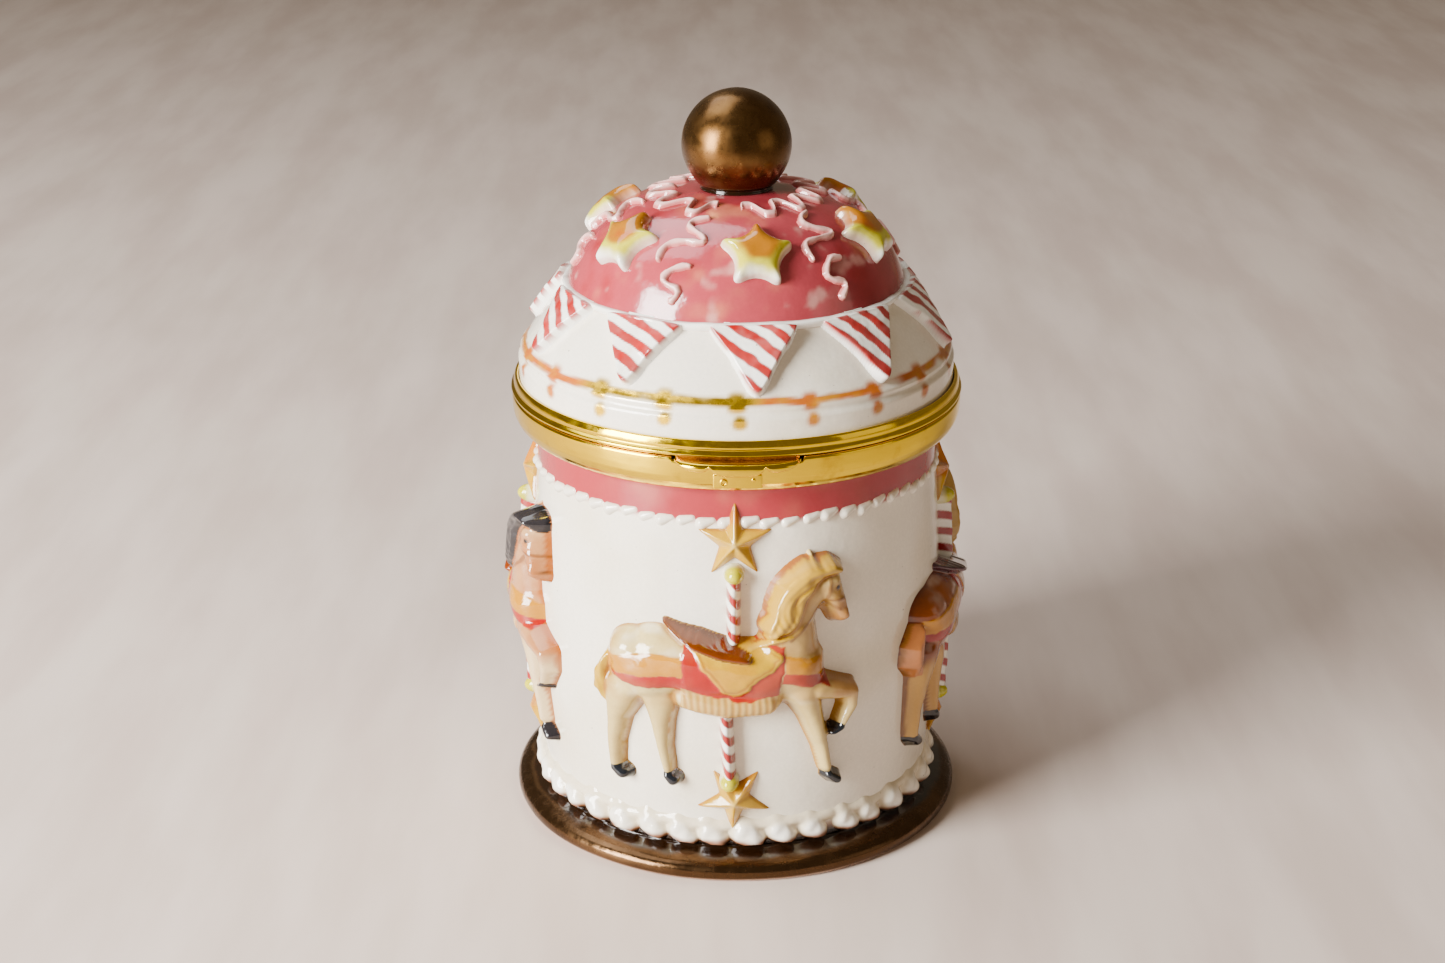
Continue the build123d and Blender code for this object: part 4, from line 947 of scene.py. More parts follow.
def paint_horse(height, masks, colours, where):
    """Brushed glaze, thin on the ridges and pooled in the hollows; painted shade in the hollows, painted
    highlight on the mane.
    """
    body, shade, leg, mane, mane_dark, seat, cloth, hoof, tail = colours
    hollow = blur(height, 3.6) - height
    hollow_pool_and_shade, ridge_thin_and_highlight = step(0.02, 0.35, hollow), step(0.0, 0.3, -hollow)
    wash = patches(where, 6, 51, -0.4, 0.7)
    colour = mix(body, shade, 0.35 * wash + 0.55 * masks["wash"])
    colour = mix(colour, WHITE, 0.35 * patches(where, 5, 53, 0.15, 0.9) * (1 - masks["wash"]))
    colour = mix(colour, srgb(0.78, 0.52, 0.36), 0.45 * masks["muzzle"])
    colour = mix(colour, leg, masks["leg"] * 0.85)
    # the body's dark colour in the hollows: pooled glaze and painted shade
    colour = mix(colour, shade, hollow_pool_and_shade * 0.8)
    colour = mix(colour, hoof, masks["hoof"])
    # the tail darker in its hollows: pooled glaze and painted shade
    colour = mix(colour, mix(tail, mane_dark, hollow_pool_and_shade * 0.8), masks["tail"])
    colour = mix(colour, OCHRE, masks["strap"] * 0.99)
    colour = mix(colour, CORAL, masks["band"] * (0.92 + 0.08 * wash))
    colour = mix(colour, mix(mix(leg, OCHRE, 0.35), shade, 0.6 * masks["gaps"]), masks["fringe"])
    colour = mix(colour, CORAL, masks["blanket"] * (0.93 + 0.07 * wash))
    colour = mix(colour, mix(cloth, OCHRE, 0.5 * wash), masks["cloth"])
    colour = mix(colour, srgb(0.70, 0.42, 0.12), masks["cloth"] * masks["border"] * 0.6)
    colour = mix(colour, seat, masks["saddle"])
    # the saddle at under half its colour in its hollows: pooled glaze and painted shade
    colour = mix(colour, seat * 0.45, masks["saddle"] * hollow_pool_and_shade * 0.7)
    # the mane darker in its hollows (pooled glaze and painted shade), faintly cream on its ridges (painted
    # highlight)
    hair = mix(mane, mane_dark, np.clip(hollow_pool_and_shade * 1.1, 0, 1))
    hair = mix(hair, CREAM, 0.04 * ridge_thin_and_highlight * step(0.1, 0.5, mane[0]))
    colour = mix(colour, hair, masks["hair"])
    colour = mix(colour, srgb(0.50, 0.28, 0.12), masks["reins"] * (1 - masks["hair"]) * 0.6)
    colour = mix(colour, srgb(0.20, 0.10, 0.06), masks["nose"] * 0.9)
    colour = mix(colour, srgb(0.45, 0.26, 0.14), 0.6 * masks["eye"])
    return mix(colour, srgb(0.05, 0.04, 0.04), masks["iris"])


def build_horses(skin, clay):
    """Four horses from one mould, a quarter turn apart, each with its own glazes."""
    x, y = patch(64, 60, HORSE_GRID, (-1.5, 45.5))
    for quarter, (side, colours) in enumerate(HORSE_COLOURS.items()):
        height, masks = sculpt_horse(x, y, quarter)
        colour = paint_horse(height, masks, colours, np.stack([x, y, height], axis=-1))
        spots = skin.on_wall(quarter, x, y)
        relief(f"horse_{side}_relief", skin, spots, height, colour, clay, "jar", [f"horse_{side}"])


# ---- the poles between and under the stars ------------------------------------------------------
POLE_SPANS = [((-0.7, 66.0), (-0.7, 53.6)), ((-2.3, 37.6), (-1.5, 22.6))]
POLE_BALLS = [(-0.6, 67.4), (-1.5, 21.4)]
POLE_STARS = [((-0.5, 73.9), 90.0), ((-0.5, 16.8), -90.0)]
POLE_R, POLE_HEIGHT, STRIPE_PITCH = 1.45, 3.0, 3.75
POLE_BALL_R, POLE_BALL_HEIGHT = 2.15, 3.9
POLE_STAR_LONG, POLE_STAR_SHORT = 7.7, 3.15


def build_rod(skin, clay, quarter, n):
    """One length of striped pole."""
    (x0, y0), (x1, y1) = POLE_SPANS[n]
    x, y = patch(6, 18, 0.2, ((x0 + x1) / 2, (y0 + y1) / 2))
    where = sheet(x, y, 9.0 * quarter + n)
    height = limb(x, y, [(x0, y0, POLE_R, POLE_HEIGHT), (x1, y1, POLE_R, POLE_HEIGHT)], 2.2)
    twist = (y + 0.85 * (x - x0) + 0.25 * noise(where, 1.6, 61)) / STRIPE_PITCH
    band = step(0.28, 0.22, np.abs((twist - 0.12) % 1 - 0.5))
    height = height + (height > 0) * (0.16 * band + 0.10 * noise(where, 2.0, 62))
    colour = mix(mix(WHITE, CREAM_THIN, 0.4 * patches(where, 3, 63, 0, 0.8)), CORAL, band * 0.99)
    return relief(f"rod{quarter}{n}", skin, skin.on_wall(quarter, x, y), height, colour, clay, "jar")


def build_ball(skin, clay, quarter, n):
    """One lemon ball on a pole's end."""
    x, y = patch(5.6, 5.6, 0.16)
    where = sheet(x, y, 3.0 * quarter + n)
    reach = np.hypot(x, y) / (POLE_BALL_R + 0.06 * noise(where, 2, 64))
    height = POLE_BALL_HEIGHT * np.sqrt(np.clip(1 - reach**2, 0, 1)) + EDGE * (reach >= 1)
    colour = mix(LEMON, srgb(0.80, 0.78, 0.10), 0.5 * patches(where, 1.8, 65, -0.2, 0.7))
    colour = mix(colour, WHITE, 0.6 * step(0.8, 1.0, reach))
    x0, y0 = POLE_BALLS[n]
    spots = skin.on_wall(quarter, x + x0, y + y0)
    return relief(f"ball{quarter}{n}", skin, spots, height, colour, clay, "jar")


def build_star(skin, clay, quarter, n):
    """One faceted ochre star at a pole's end."""
    (x0, y0), lift = POLE_STARS[n]
    x, y = patch(17.5, 17.5, 0.2)
    where = sheet(x, y, 5.0 * quarter + n)
    u, v = tilted(x, y, 0.05 * math.sin(quarter + n))
    gauge = star_gauge(u, v, POLE_STAR_LONG, POLE_STAR_SHORT, lift) + 0.03 * noise(where, 4, 66)
    height = np.where(gauge < 1.0, 2.7 * (1 - gauge) + 0.45, 0.45 - 6 * (gauge - 1.0))
    height = blur(height, 0.9) + 0.06 * noise(where, 1.6, 67)
    colour = mix(srgb(0.95, 0.76, 0.34), ORANGE, 0.75 * patches(where, 5, 68, -0.4, 0.6))
    colour = mix(colour, srgb(0.95, 0.86, 0.58), 0.5 * step(0.3, 0.0, gauge))
    colour = mix(colour, srgb(0.72, 0.42, 0.10), 0.5 * step(0.86, 1.02, gauge))
    spots = skin.on_wall(quarter, x + x0, y + y0)
    return relief(f"star{quarter}{n}", skin, spots, height, colour, clay, "jar")


def build_poles(skin, clay):
    """Striped poles, the balls on them and the stars they end in, two of each to a quarter."""
    for name, node, build in (
        ("striped_poles", "barber_poles", build_rod), ("pole_knobs", "pole_balls", build_ball),
        ("ochre_stars", "pole_stars", build_star),
    ):
        merge(name, [build(skin, clay, quarter, n) for quarter in range(4) for n in range(2)], node)


# ---- bezels, hinge, lip and catch ---------------------------------------------------------------
LOWER_SECTION = [
    (37.9, 92.8), (44.1, 92.8), (44.3, 92.8), (47.0, 92.8), (47.32, 92.35), (47.28, 91.2), (47.24, 90.0),
    (47.12, 88.7), (46.6, 87.4), (45.9, 86.5), (45.2, 85.75), (44.4, 85.3), (43.4, 85.2), (43.4, 85.8),
    (44.3, 86.2), (45.4, 87.2), (46.35, 88.9), (46.4, 91.9), (38.6, 91.9), (38.6, 88.0), (37.9, 88.0),
]
UPPER_SECTION = [
    (35.8, 93.0), (47.1, 93.0), (47.48, 93.35), (47.5, 93.75), (47.05, 94.15), (46.8, 94.35),
    (46.95, 94.9), (46.8, 95.6), (46.62, 96.1), (46.35, 96.4), (45.85, 96.2), (45.85, 94.0), (36.5, 94.0),
    (36.5, 96.5), (35.8, 96.5),
]
BEZEL_COLUMNS = 720
NOTCH_TURN, NOTCH_R, NOTCH_Z = math.radians(15.9), 44.15, 91.9  # cut in the lower ring for the lip
HINGE = (0, 49.6, 92.9)
KNUCKLES = 5
KNUCKLE_STEP, KNUCKLE_HALF = 4.4, 2.1
KNUCKLE_PROFILE = [(0.85, 2.1), (1.65, 2.1), (1.82, 2.0), (1.9, 1.8), (1.92, 0.9), (1.86, 0.8)]
PIN_HEAD = [(0.1, 11.8), (0.8, 11.75), (1.2, 11.5), (1.3, 11.2), (1.2, 11.02), (0.8, 11.0)]
LIP_TURN, LIP_R, LIP_REACH = math.radians(14.9), 47.3, 2.95


def mirrored(profile):
    """An (r, along) profile with its other half, from -along up to +along."""
    return [(r, -a) for r, a in profile] + profile[::-1]


def block(name, low, high, soft, material, body):
    """A bar along X with every long edge rounded and its ends eased."""
    low, high = np.array(low, float), np.array(high, float)
    outline = rounded([(low[1], low[2]), (high[1], low[2]), (high[1], high[2]), (low[1], high[2])], soft, 4)
    middle, span = (low[1:] + high[1:]) / 2, (high[1:] - low[1:]) / 2
    left = [(low[0], 0.7), (low[0] + soft * 0.3, 0.25), (low[0] + soft, 0)]
    right = [(high[0] - soft, 0), (high[0] - soft * 0.3, 0.25), (high[0], 0.7)]
    sections = []
    for x, ease in left + right:
        flat = middle + (outline - middle) * (1 - ease * soft / span)
        sections.append(np.column_stack([np.full(len(flat), x), flat]))
    return loft(name, np.array(sections), material, body)


def build_bezel(name, section, material, body, seed, notched=False):
    """One bezel ring, its outer face slightly dented; the lower one is notched under the lip."""
    outline = rounded(section, 0.22)
    turn = (np.arange(BEZEL_COLUMNS) * TAU / BEZEL_COLUMNS)[:, None] + 0 * outline[:, 0]
    r, z = outline[:, 0] + 0 * turn, outline[:, 1] + 0 * turn
    if notched:
        z = np.where((np.abs(arc_from(turn, 0)) < NOTCH_TURN) & (r > NOTCH_R) & (z > NOTCH_Z), NOTCH_Z, z)
    where = around(turn, r, z)
    dent = (0.035 * noise(where, 9, seed) + 0.02 * noise(where, 3, seed + 1)) * step(46.4, 46.9, r)
    return loft(name, around(turn, r + dent, z + 0.3 * dent)[:, ::-1], material, body, wrap=True)


def build_hinge_leaf(i, material):
    """One knuckle on the pin, and the leaf that ties it to its bezel; odd ones are the lid's."""
    body, low, high = ("lid", 93.0, 95.9) if i % 2 else ("jar", 89.4, 92.8)
    x = KNUCKLE_STEP * (i - KNUCKLES // 2)
    barrel = mirrored(KNUCKLE_PROFILE)
    knuckle = spindle(f"knuckle{x:.1f}", (x, *HINGE[1:]), (1, 0, 0), barrel, material, body, 64, 0.02)
    corners = (x - KNUCKLE_HALF, 46.0, low), (x + KNUCKLE_HALF, HINGE[1], high)
    return [knuckle, block(f"leaf{i}", *corners, 0.5, material, body)]


def build_metalwork(metal_gilt, steel_pin):
    lower = [build_bezel("lower_ring", LOWER_SECTION, metal_gilt, "jar", 81, True)]
    upper = [build_bezel("upper_ring", UPPER_SECTION, metal_gilt, "lid", 85)]
    for i in range(KNUCKLES):
        (upper if i % 2 else lower).extend(build_hinge_leaf(i, metal_gilt))
    merge("gilt_lower_bezel", lower, "lower_bezel")
    merge("gilt_upper_bezel", upper, "upper_bezel")
    pin = mirrored(PIN_HEAD)
    spindle("hinge_pin_turned", HINGE, (1, 0, 0), pin, steel_pin, "jar", 40, 0.01, ["hinge_pin"])
    build_lip(metal_gilt)
    build_catch(metal_gilt)


def build_lip(material):
    """Half-moon lip whose underside is cut in three lobes, the middle one widest."""
    sections = []
    for t in np.linspace(-1, 1, 181):
        swell = (1 - abs(t) ** 3.2) ** 0.5
        lobe = 2.25 * max(0.0, 1 - (t / 0.42) ** 4) ** 0.5
        for centre in (-0.70, 0.70):
            lobe = max(lobe, 1.75 * max(0.0, 1 - abs((t - centre) / 0.28) ** 3) ** 0.5)
        foot = 92.25 - max(0.55, lobe) * (0.35 + 0.65 * swell)
        outer = max(LIP_R + LIP_REACH * swell, LIP_R + 0.45)
        flat = rounded([
            (44.7, 92.1), (47.35, 92.1), (47.42, foot + 0.15), (outer - 0.75, foot),
            (outer - 0.2, foot + 0.3), (outer, foot + 0.75), (outer - 0.05, 91.95), (outer - 0.55, 92.5),
            (47.0, 92.66), (46.7, 92.98), (44.7, 92.98),
        ], 0.22)
        sections.append(around(LIP_TURN * t, flat[:, 0], flat[:, 1]))
    loft("lobed_lip", np.array(sections), material, "lid", ["thumb_lip"])


def build_catch(material):
    """Thin sprung plate under the lip, with a ring rivet at its left end and its hook turned in."""
    plate = block("plate", (-4.8, -48.95, 87.5), (4.8, -48.52, 90.45), 0.3, material, "catch")
    hook = block("hook", (-3.0, -48.6, 87.4), (3.0, -47.98, 87.8), 0.15, material, "catch")
    collar = [(0.32, 0.0), (0.32, 0.28), (0.42, 0.4), (0.62, 0.42), (0.8, 0.3), (0.86, 0.0)]
    ring_rivet = spindle("ring", (-2.7, -48.85, 88.75), (0, -1, 0), collar, material, "catch", 40, 0.02)
    button = [(0.46, 0.0), (0.4, 0.18), (0.25, 0.28), (0.05, 0.3)]
    stud = spindle("stud", (3.1, -48.85, 89.3), (0, -1, 0), button, material, "catch", 32, 0.01)
    merge("catch_plate", [plate, hook, ring_rivet, stud], "catch_spring")
    outline = rounded([(46.85, 88.2), (47.6, 88.2), (47.9, 88.5), (47.9, 88.9), (46.85, 89.6)], 0.15)
    sections = []
    for t in np.linspace(-1, 1, 25):
        flat = outline + 0.375 * abs(t) ** 6 * ((46.9, 88.9) - outline)
        sections.append(around(math.radians(3.5) * t, flat[:, 0], flat[:, 1]))
    loft("catch_tooth", np.array(sections), material, "jar", ["catch_nib"])


# ---- the lid ------------------------------------------------------------------------------------
FLAGS, FLAG_TURN = 10, math.radians(5)
STARS, STAR_TURN, STAR_Z = 6, math.radians(8), 128.0
STAR_LONG, STAR_SHORT = 8.7, 4.1
SCROLL_TURN, SCROLL_Z = math.radians(38), 126.8
WAVE_R, WAVE_COUNT = 15.6, 14
CORD_Z = 115.7
FOOT_R = 41.3
LINE_Z, BLOT_Z, DOT_Z = 103.35, 103.1, 99.6
BLOT_STEP = math.radians(18.4)
RIDGES = [(100.3, 0.62, 0.6), (102.2, 0.55, 0.5)]  # height up the lid, how proud, how broad
LID_FOOT = [(41.25, 94.6), (41.6, 94.15), (45.2, 94.15), (45.65, 94.5)]
LID_CROWN = [(7.9, 134.97), (3.05, 135.0), (3.05, 132.2)]
LID_HOLLOW = [
    (3.2, 132.1), (12, 131.2), (20.5, 128.2), (28, 121), (31, 114.5), (37.2, 108.5), (41.2, 100.5),
]
PALE_BELOW = [
    (0, 133.6), (12.0, 132.9), (20.5, 130.4), (28.0, 124.4), (31.2, 119.0), (37.2, 110.8), (41.2, 104.0),
]
FINIAL_NECK = [(7.7, 136.1), (7.4, 135.9), (7.3, 135.6), (7.55, 135.25), (7.5, 134.9), (2.95, 134.85)]
BALL_R, BALL_Z, NECK_Z = 11.25, 144.1, 136.4


def paint_lid(points):
    """Rose dome under cloudy glaze, cream skirt with a painted line, pale glaze inside."""
    z = points[..., 2]
    r = np.hypot(points[..., 0], points[..., 1])
    turn = np.arctan2(points[..., 0], -points[..., 1])
    colour = mix(ROSE, ROSE_DEEP, 0.75 * patches(points, 11, 101, -0.05, 0.75))
    colour = mix(colour, SALMON, 0.75 * patches(points, 8, 105, 0.05, 0.75))
    colour = mix(colour, srgb(0.93, 0.74, 0.70), 0.5 * patches(points, 5, 108, 0.35, 0.8))
    skirt = step(CORD_Z - 0.2, CORD_Z - 0.9, z + 0.15 * noise(points, 4, 109))
    colour = mix(colour, mix(CREAM, CREAM_THIN, 0.35 * patches(points, 10, 111, -0.1, 0.9)), skirt)

    wander = 0.28 * noise(points, 7, 113) + 0.12 * noise(points, 2, 115)
    brush = 0.16 * noise(points, 1.6, 118)
    near = arc_from(turn, np.round(turn / BLOT_STEP) * BLOT_STEP) * 44
    line = step(0.95, 0.4, np.abs(z - LINE_Z + wander)) * step(-0.8, -0.1, noise(points, 6, 117))
    across, up = np.abs(near - wander + brush) / 1.75, np.abs(z - BLOT_Z + wander) / 1.7
    blot = step(1.4, 0.6, np.cbrt(across**3 + up**3))
    dot = step(1.4, 0.6, np.hypot(near - 0.4 + wander - brush, z - DOT_Z - wander) / 1.4)
    marks = highest([line, blot, dot]) * skirt * (r > FOOT_R)
    left_front = step(math.radians(-46), math.radians(-38), turn)
    left_front = left_front * step(math.radians(8), math.radians(2), turn)
    from_back = arc_from(turn, math.pi)
    gold = np.maximum(left_front, 0.9 * (from_back > 0.4) * (from_back < 1.0))
    tone = mix(mix(ORANGE, srgb(0.95, 0.66, 0.14), patches(points, 3, 119, -0.3, 0.6)), GILT, gold)
    colour = mix(colour, tone, marks * 0.99)

    within = (r < FOOT_R) & ((z < 100) | (z < np.interp(r, *np.array(PALE_BELOW).T)))
    colour = mix(colour, mix(CREAM, CREAM_THIN, 0.5 * patches(points, 12, 121, -0.3, 0.8)), within)
    return paint_of(colour, 0.95 * marks * gold * ~within)


def build_lid(skin, clay, lustre):
    s = np.arange(skin.s_at(94.9), skin.s[-1] - 0.3, 0.5)
    z = skin.height(s)
    ridges = sum(proud * np.exp(-(((z - middle) / broad) ** 2)) for middle, proud, broad in RIDGES)
    wall = skin.place(np.zeros_like(s), s, ridges)
    outer = np.column_stack([-wall[:, 1], wall[:, 2]])
    hollow = smooth_outline(LID_HOLLOW, 1.0, 2)
    outline = np.concatenate([smooth_outline(LID_FOOT, 0.4), outer, smooth_outline(LID_CROWN, 0.8), hollow])
    lathe("lid_shell", outline, clay, "lid", "lid_dome", 0.14, 131, paint_lid)
    build_cord(skin, clay)
    build_flags(skin, clay)
    build_lid_stars(skin, clay)
    build_scrolls(skin, clay)
    build_wave(skin, clay)
    build_finial(lustre)


def build_cord(skin, clay):
    """White cord that the flags hang from."""
    middle = float(skin.s_at(CORD_Z))
    turn, s = skin.ring(middle - 2.2, middle + 2.2, 0.16, 760)
    points = skin.place(turn, s * 0 + middle, 0 * s)
    y = s - middle + 0.18 * noise(points, 5, 141)
    size = 0.85 + 0.12 * noise(points, 3.5, 143)
    height = 1.35 * size * (1 - (np.abs(y) / size) ** 2.2)
    colour = mix(WHITE, SALMON, 0.35 * step(0.5, 0.0, height) * step(0, 0.5, y))
    relief("cord", skin, (turn, s), height, colour, clay, "lid", ["bunting_cord"])


def build_flags(skin, clay):
    """Ten pointed flags under the cord, each pressed on with its right edge a little lifted."""
    rng = np.random.default_rng(11)
    flags = []
    top = float(skin.s_at(CORD_Z - 0.2))
    for i in range(FLAGS):
        x, y = patch(20, 19, 0.24, (0, -7.0))
        where = sheet(x, y, 21.0 * i)
        lean = rng.uniform(-0.6, 0.8)
        tip = -14.2 + rng.uniform(-0.6, 0.9)
        corners = [
            (-8.9, 1.0), (8.9, 1.0), (8.7, -1.0), (4.3, -7.6), (1.7 + lean, tip), (-1.1 + lean, tip),
            (-4.1, -7.4), (-8.7, -1.0),
        ]
        depth = inside(x + 0.15 * noise(where, 4, 151), y + 0.15 * noise(where, 4, 152), loop(corners))
        lift = 0.55 * step(0, 6, x) + 0.35 * step(-9, -14, y) + 0.25 * np.sin(x / 2.7 + i)
        dents = 0.10 * noise(where, 3, 153) + 0.04 * noise(where, 1, 154)
        height = np.where(depth > -0.3, step(-0.05, 0.7, depth) * (1.75 + lift) + dents, 2 * CUT)
        tilt = math.radians(rng.uniform(20, 62))
        across = x * math.sin(tilt) + (y + 0.0175 * (x - 2) ** 2) * math.cos(tilt)
        stripe = np.abs(((across + 0.22 * noise(where, 2.5, 155)) / 3.7 + 0.3 * i) % 1 - 0.5)
        band = step(0.29, 0.235, stripe + 0.05 * noise(where, 1.6, 159)) * step(0.1, 0.6, depth)
        height = height + 0.06 * band * (depth > 0.2)
        red = mix(CORAL, srgb(0.90, 0.12, 0.08), patches(where, 2.5, 156, -0.2, 0.8))
        white = mix(WHITE, CREAM_THIN, 0.3 * patches(where, 5, 157, 0.1, 0.9))
        colour = mix(white, red, band * (0.96 + 0.04 * noise(where, 1.2, 158)))
        spots = skin.on_dome(FLAG_TURN + i * TAU / FLAGS, top, x, y)
        flags.append(relief(f"flag{i}", skin, spots, height, colour, clay, "lid"))
    merge("flags", flags, "bunting_flags")


def build_lid_stars(skin, clay):
    """Puffy stars, orange in the middle and over the top arm, lemon round it, white at the tips."""
    rng = np.random.default_rng(17)
    stars = []
    middle = float(skin.s_at(STAR_Z))
    corners = []
    for k in range(10):
        reach, lift = STAR_SHORT if k % 2 else STAR_LONG, math.radians(90 + 36 * k)
        corners.append((reach * math.cos(lift), reach * math.sin(lift)))
    for i in range(STARS):
        x, y = patch(18, 18, 0.2)
        where = sheet(x, y, 17.0 * i)
        u, v = tilted(x, y, rng.uniform(-0.12, 0.12))
        depth = inside(u, v, loop(corners))
        height = 3.0 * (1 - (1 - np.clip(depth / 3.3, 0, 1)) ** 2.4) ** 0.5 + 0.1
        height = np.where(depth > 0, height, 0.1 + 2.5 * depth)
        height = blur(height, 1.3) + 0.10 * noise(where, 2.6, 161)
        reach = np.hypot(u, v - 0.6) + 0.5 * noise(where, 2.2, 163)
        arm = step(1.5, 0.7, np.abs(u)) * (v > 0)
        core = np.maximum(step(4.4, 2.6, reach - 0.35 * v), arm * step(8.4, 6.5, v))
        halo = step(-5.6, -3.0, v + 0.8 * noise(where, 1.8, 164)) * step(-0.4, 0.9, depth)
        colour = mix(WHITE, LEMON, 0.98 * halo)
        colour = mix(colour, 0.75 * srgb(0.95, 0.64, 0.02), core)
        colour = mix(colour, srgb(0.86, 0.42, 0.02), 0.6 * patches(where, 2.5, 165, 0.0, 0.8) * core)
        colour = mix(colour, SALMON, 0.4 * step(0.6, 0.1, depth))
        spots = skin.on_dome(STAR_TURN + i * TAU / STARS, middle, x, y)
        stars.append(relief(f"puff{i}", skin, spots, height, colour, clay, "lid"))
    merge("puffy_stars", stars, "lid_stars")


SQUIGGLES = [
    [(1.9, 11.3), (-0.6, 10.4), (-1.6, 8.4), (0.6, 6.9), (3.6, 5.6), (3.8, 4.4), (0.2, 4.4),
     (-3.6, 4.0), (-4.7, 2.0), (-4.5, -0.2)],
    [(2.2, -1.0), (0.6, -0.9), (-1.6, -2.2), (-2.9, -4.3), (-1.2, -5.3), (0.8, -5.6), (1.2, -7.0),
     (-0.2, -8.4)],
]


def build_scrolls(skin, clay):
    """Trailed slip squiggles between the stars, thicker where the trailer paused."""
    rng = np.random.default_rng(23)
    pieces = []
    middle = float(skin.s_at(SCROLL_Z))
    for i in range(STARS):
        x, y = patch(13, 26, 0.16, (0, 1.2))
        where = sheet(x, y, 13.0 * i)
        wave_x, wave_y = x + 0.5 * noise(where, 5, 171), y + 0.5 * noise(where, 5, 173)
        height = np.full(x.shape, -1.0)
        for line in SQUIGGLES:
            sway = rng.uniform(-0.35, 0.35)
            path = smooth_outline(line, 0.8, 2)
            joints = []
            for k, (px, py) in enumerate(path):
                joints.append((px + sway, py, 0.80 + 0.18 * math.sin(1.3 * k + i), 1.0))
            height = np.maximum(height, limb(wave_x, wave_y, joints, 2.0))
        colour = mix(SLIP, SLIP_THICK, step(0.3, 0.9, height))
        spots = skin.on_dome(SCROLL_TURN + i * TAU / STARS, middle, x, y)
        pieces.append(relief(f"squiggle{i}", skin, spots, height, colour, clay, "lid"))
    merge("squiggles", pieces, "lid_scrolls")


def build_wave(skin, clay):
    """Broken zigzag of slip round the neck."""
    mean = float(np.interp(WAVE_R, skin.r[::-1], skin.s[::-1]))
    turn, s = skin.ring(mean - 4.4, mean + 4.4, 0.16, 800)
    points = skin.place(turn, s, 0 * s)
    phase = turn * WAVE_COUNT / TAU + 0.12 * noise(points, 9, 181)
    saw = np.sin(TAU * phase) + 0.12 * np.sin(3 * TAU * phase)
    swing = 2.5 + 0.5 * noise(points, 8, 183)
    gap = np.abs(s - mean - swing * saw) * 0.58
    ends = step(-0.95, -0.6, noise(np.stack([phase * 2, phase * 0, phase * 0], axis=-1), 0.6, 185))
    size = 0.26 + 0.465 * ends
    height = np.where(size > 0.45, 0.95 * (1 - (gap / size) ** 2), -1.0)
    height = np.maximum(height, -1.0) + 0.08 * noise(points, 1.5, 187)
    colour = mix(SLIP, SLIP_THICK, step(0.3, 0.9, height))
    relief("neck_wave", skin, (turn, s), height, colour, clay, "lid", ["crown_wave"])


def build_finial(lustre):
    """Hand-rolled ball on a tight collar, with its spigot down through the crown."""
    angle = np.radians(np.linspace(88.6, -44.5, 120))
    ball = np.column_stack([BALL_R * np.cos(angle), BALL_Z + BALL_R * np.sin(angle)])
    neck = smooth_outline(FINIAL_NECK, 0.2)
    outline = np.concatenate([ball, neck, [(2.95, 134.4), (2.95, 133.0), (2.6, 132.7), (0.3, 132.6)]])
    turn = np.arange(220) * TAU / 220
    where = around(turn, outline[:, :1] + 0 * turn, outline[:, 1:] + 0 * turn)
    push = (0.13 * noise(where, 9, 191) + 0.03 * noise(where, 2.5, 193)) * step(136.2, 138.0, where[..., 2])
    out = where - (0, 0, BALL_Z)
    sections = where + push[..., None] * out / np.linalg.norm(out, axis=-1, keepdims=True)
    loft("lustre_ball", sections[:, ::-1], lustre, "lid", ["finial_ball"])


# ---- parts kept from the frame ------------------------------------------------------------------
def dress_frame():
    """Gives the hidden movement, the tray and the key their materials, and eases their edges."""
    steel = metal("spring_steel", srgb(0.62, 0.63, 0.66), srgb(0.34, 0.35, 0.38), 0.22, 0.42, (1, 9, 1), 0.25)
    brass = metal("yellow_brass", srgb(0.83, 0.66, 0.32), srgb(0.50, 0.34, 0.12), 0.2, 0.4, (9, 1, 1), 0.25)
    cast = metal("cast_bed", srgb(0.60, 0.60, 0.60), srgb(0.36, 0.36, 0.38), 0.4, 0.6, (1, 1, 1), 0.8)
    nylon = moulded("white_nylon", srgb(0.86, 0.85, 0.80))
    board = moulded("tray_board", srgb(0.45, 0.30, 0.20))
    dressed = [
        (steel, "comb comb_screws movement_screws screw_washers winding_arbor winding_key mainspring"),
        (steel, "clutch_spring stop_rod stop_spring cylinder_arbor worm_shaft cylinder_bearings"),
        (brass, "music_cylinder spring_barrel cylinder_pinion governor_frame governor_arbor worm_wheel"),
        (cast, "bedplate"), (nylon, "cylinder_wheel fan_fly"), (board, "tray_floor"), (felt(), "tray_lining"),
    ]
    for material, nodes in dressed:
        for node in nodes.split():
            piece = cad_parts[node]
            piece.data.materials.clear()
            piece.data.materials.append(material)
    for node in ("winding_key", "movement_screws", "screw_washers", "tray_lining", "bedplate", "stop_rod"):
        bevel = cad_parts[node].modifiers.new("edge", "BEVEL")
        bevel.width = 0.18 * MM
        bevel.segments = 2
        bevel.limit_method = "ANGLE"
    return steel


# ---- floor, light and camera --------------------------------------------------------------------
FLOOR_HALF_M = 3.0
PANELS = [  # name, place, aim height, width, height, power, colour
    ("window", (-0.66, -0.47, 0.33), 0.09, 0.36, 0.52, 36.0, (1.0, 0.99, 0.96)),
    ("sky", (-0.35, 0.25, 0.90), 0.05, 0.7, 0.6, 6.0, (0.97, 0.98, 1.0)),
    ("room", (0.80, -0.35, 0.30), 0.08, 0.5, 0.5, 0.6, (1.0, 0.86, 0.68)),
]
CAMERA_PLACE = (-0.0029, -0.4661, 0.2488)
CAMERA_DOWN = math.radians(20.96)
LENS = 57.75


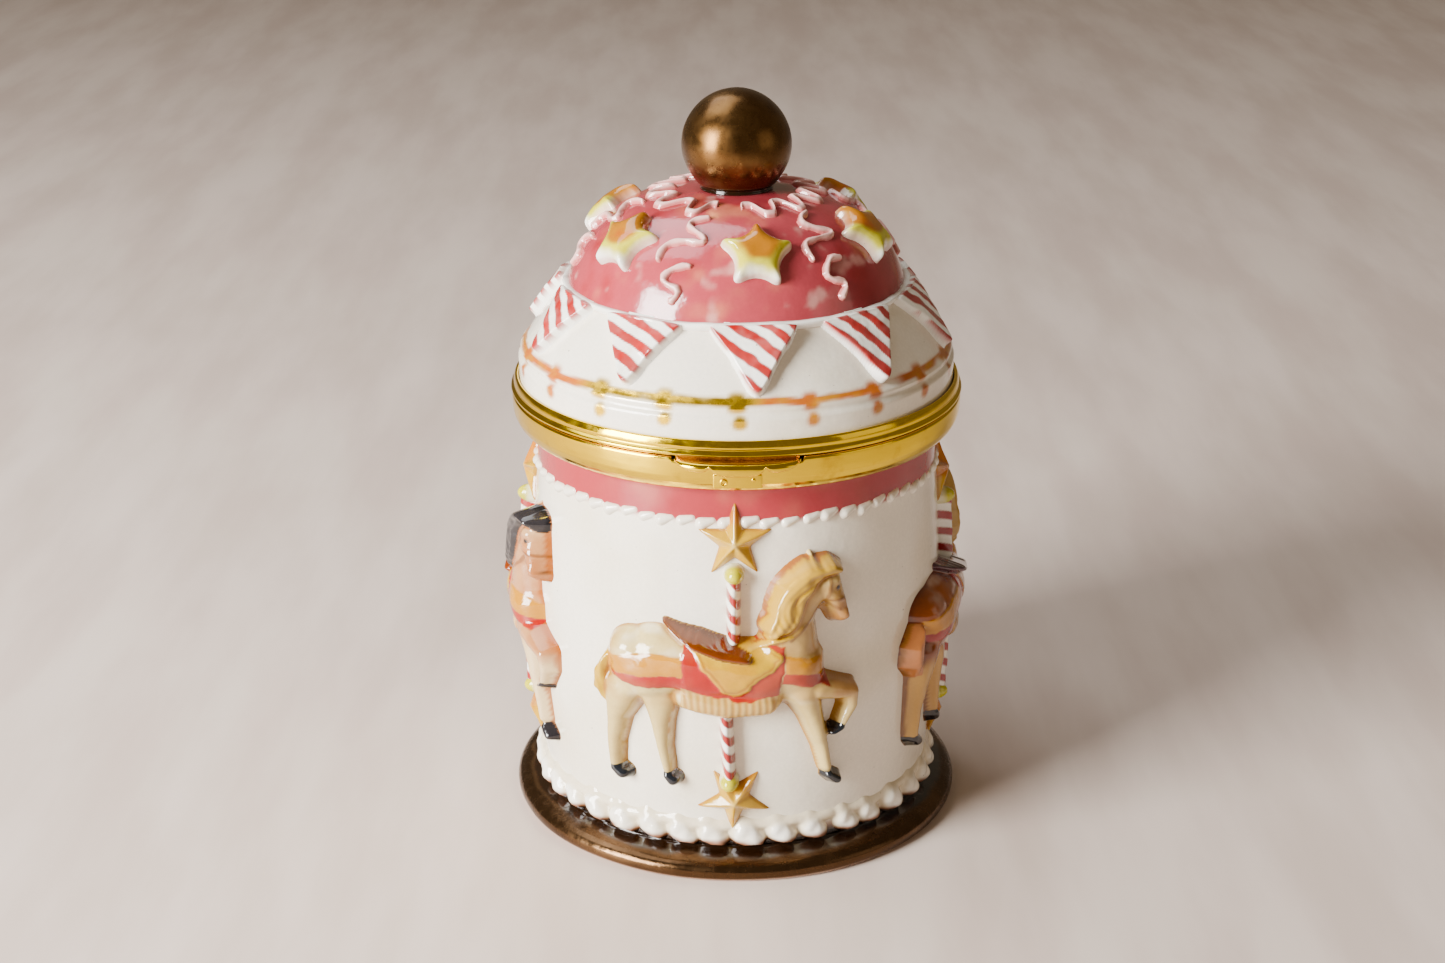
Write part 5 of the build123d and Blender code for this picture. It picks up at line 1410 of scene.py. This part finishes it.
def build_floor_plane():
    shade = Shader("pale_floor")
    grain = shade.noise(26, 4, (1, 5, 1))
    dark, light = rgba(srgb(0.80, 0.73, 0.69)), rgba(srgb(0.86, 0.80, 0.76))
    tone = shade.blend(shade.ramp(grain, 0.3, 0.7), dark, light)
    mesh = bpy.data.meshes.new("floor")
    corners = [(x * FLOOR_HALF_M, y * FLOOR_HALF_M, 0) for x, y in ((-1, -1), (1, -1), (1, 1), (-1, 1))]
    mesh.from_pydata(corners, [], [(0, 1, 2, 3)])
    mesh.materials.append(shade.finish(Base_Color=tone, Roughness=0.55, Normal=shade.bump(grain, 0.15, 0.4)))
    link("floor", mesh)


def build_lights():
    """Daylight through a window on the left, soft light from above and behind, and a dim warm room."""
    for name, place, aim, width, height, power, colour in PANELS:
        light = bpy.data.lights.new(name, "AREA")
        light.shape = "RECTANGLE"
        light.size, light.size_y = width, height
        light.energy = power
        light.color = colour
        lamp = link(name, light)
        lamp.location = place
        lamp.rotation_euler = (Vector((0, 0, aim)) - Vector(place)).to_track_quat("-Z", "Y").to_euler()
    world = bpy.data.worlds.new("room")
    world.use_nodes = True
    tree = world.node_tree
    fill = tree.nodes["Background"]
    fill.inputs[0].default_value = rgba(srgb(0.88, 0.80, 0.69))
    fill.inputs[1].default_value = 0.30
    backdrop = tree.nodes.new("ShaderNodeBackground")
    backdrop.inputs[0].default_value = rgba(srgb(0.93, 0.92, 0.90))
    choice = tree.nodes.new("ShaderNodeMixShader")
    tree.links.new(tree.nodes.new("ShaderNodeLightPath").outputs["Is Camera Ray"], choice.inputs[0])
    tree.links.new(fill.outputs[0], choice.inputs[1])
    tree.links.new(backdrop.outputs[0], choice.inputs[2])
    tree.links.new(choice.outputs[0], tree.nodes["World Output"].inputs[0])
    bpy.context.scene.world = world


def build_camera():
    data = bpy.data.cameras.new("camera")
    data.lens = LENS
    data.sensor_width = 36
    data.clip_start = 0.01
    camera = link("camera", data)
    camera.location = CAMERA_PLACE
    camera.rotation_euler = (math.pi / 2 - CAMERA_DOWN, 0, 0)
    bpy.context.scene.camera = camera


jar_looks = [(z, 0) for z in np.arange(WALL_FOOT, WALL_TOP + 1e-6, 0.5)]
dome_looks = [(100, lift) for lift in np.linspace(math.radians(-7), math.radians(76.8), 160)]
jar_skin = Skin([(42.6, 4.4), (42.6, 5.2)] + outline_of("jar_body", jar_looks))
lid_skin = Skin(outline_of("lid_dome", dome_looks))
clay_glaze = glaze("cream_glaze", 0.16, 0.10)
lid_glaze = glaze("rose_glaze", 0.24, 0.16)
build_jar(jar_skin, clay_glaze)
build_horses(jar_skin, clay_glaze)
build_poles(jar_skin, clay_glaze)
pin_steel = dress_frame()
build_metalwork(gilt(), pin_steel)
build_lid(lid_skin, lid_glaze, bronze_lustre())
build_floor_plane()
build_lights()
build_camera()
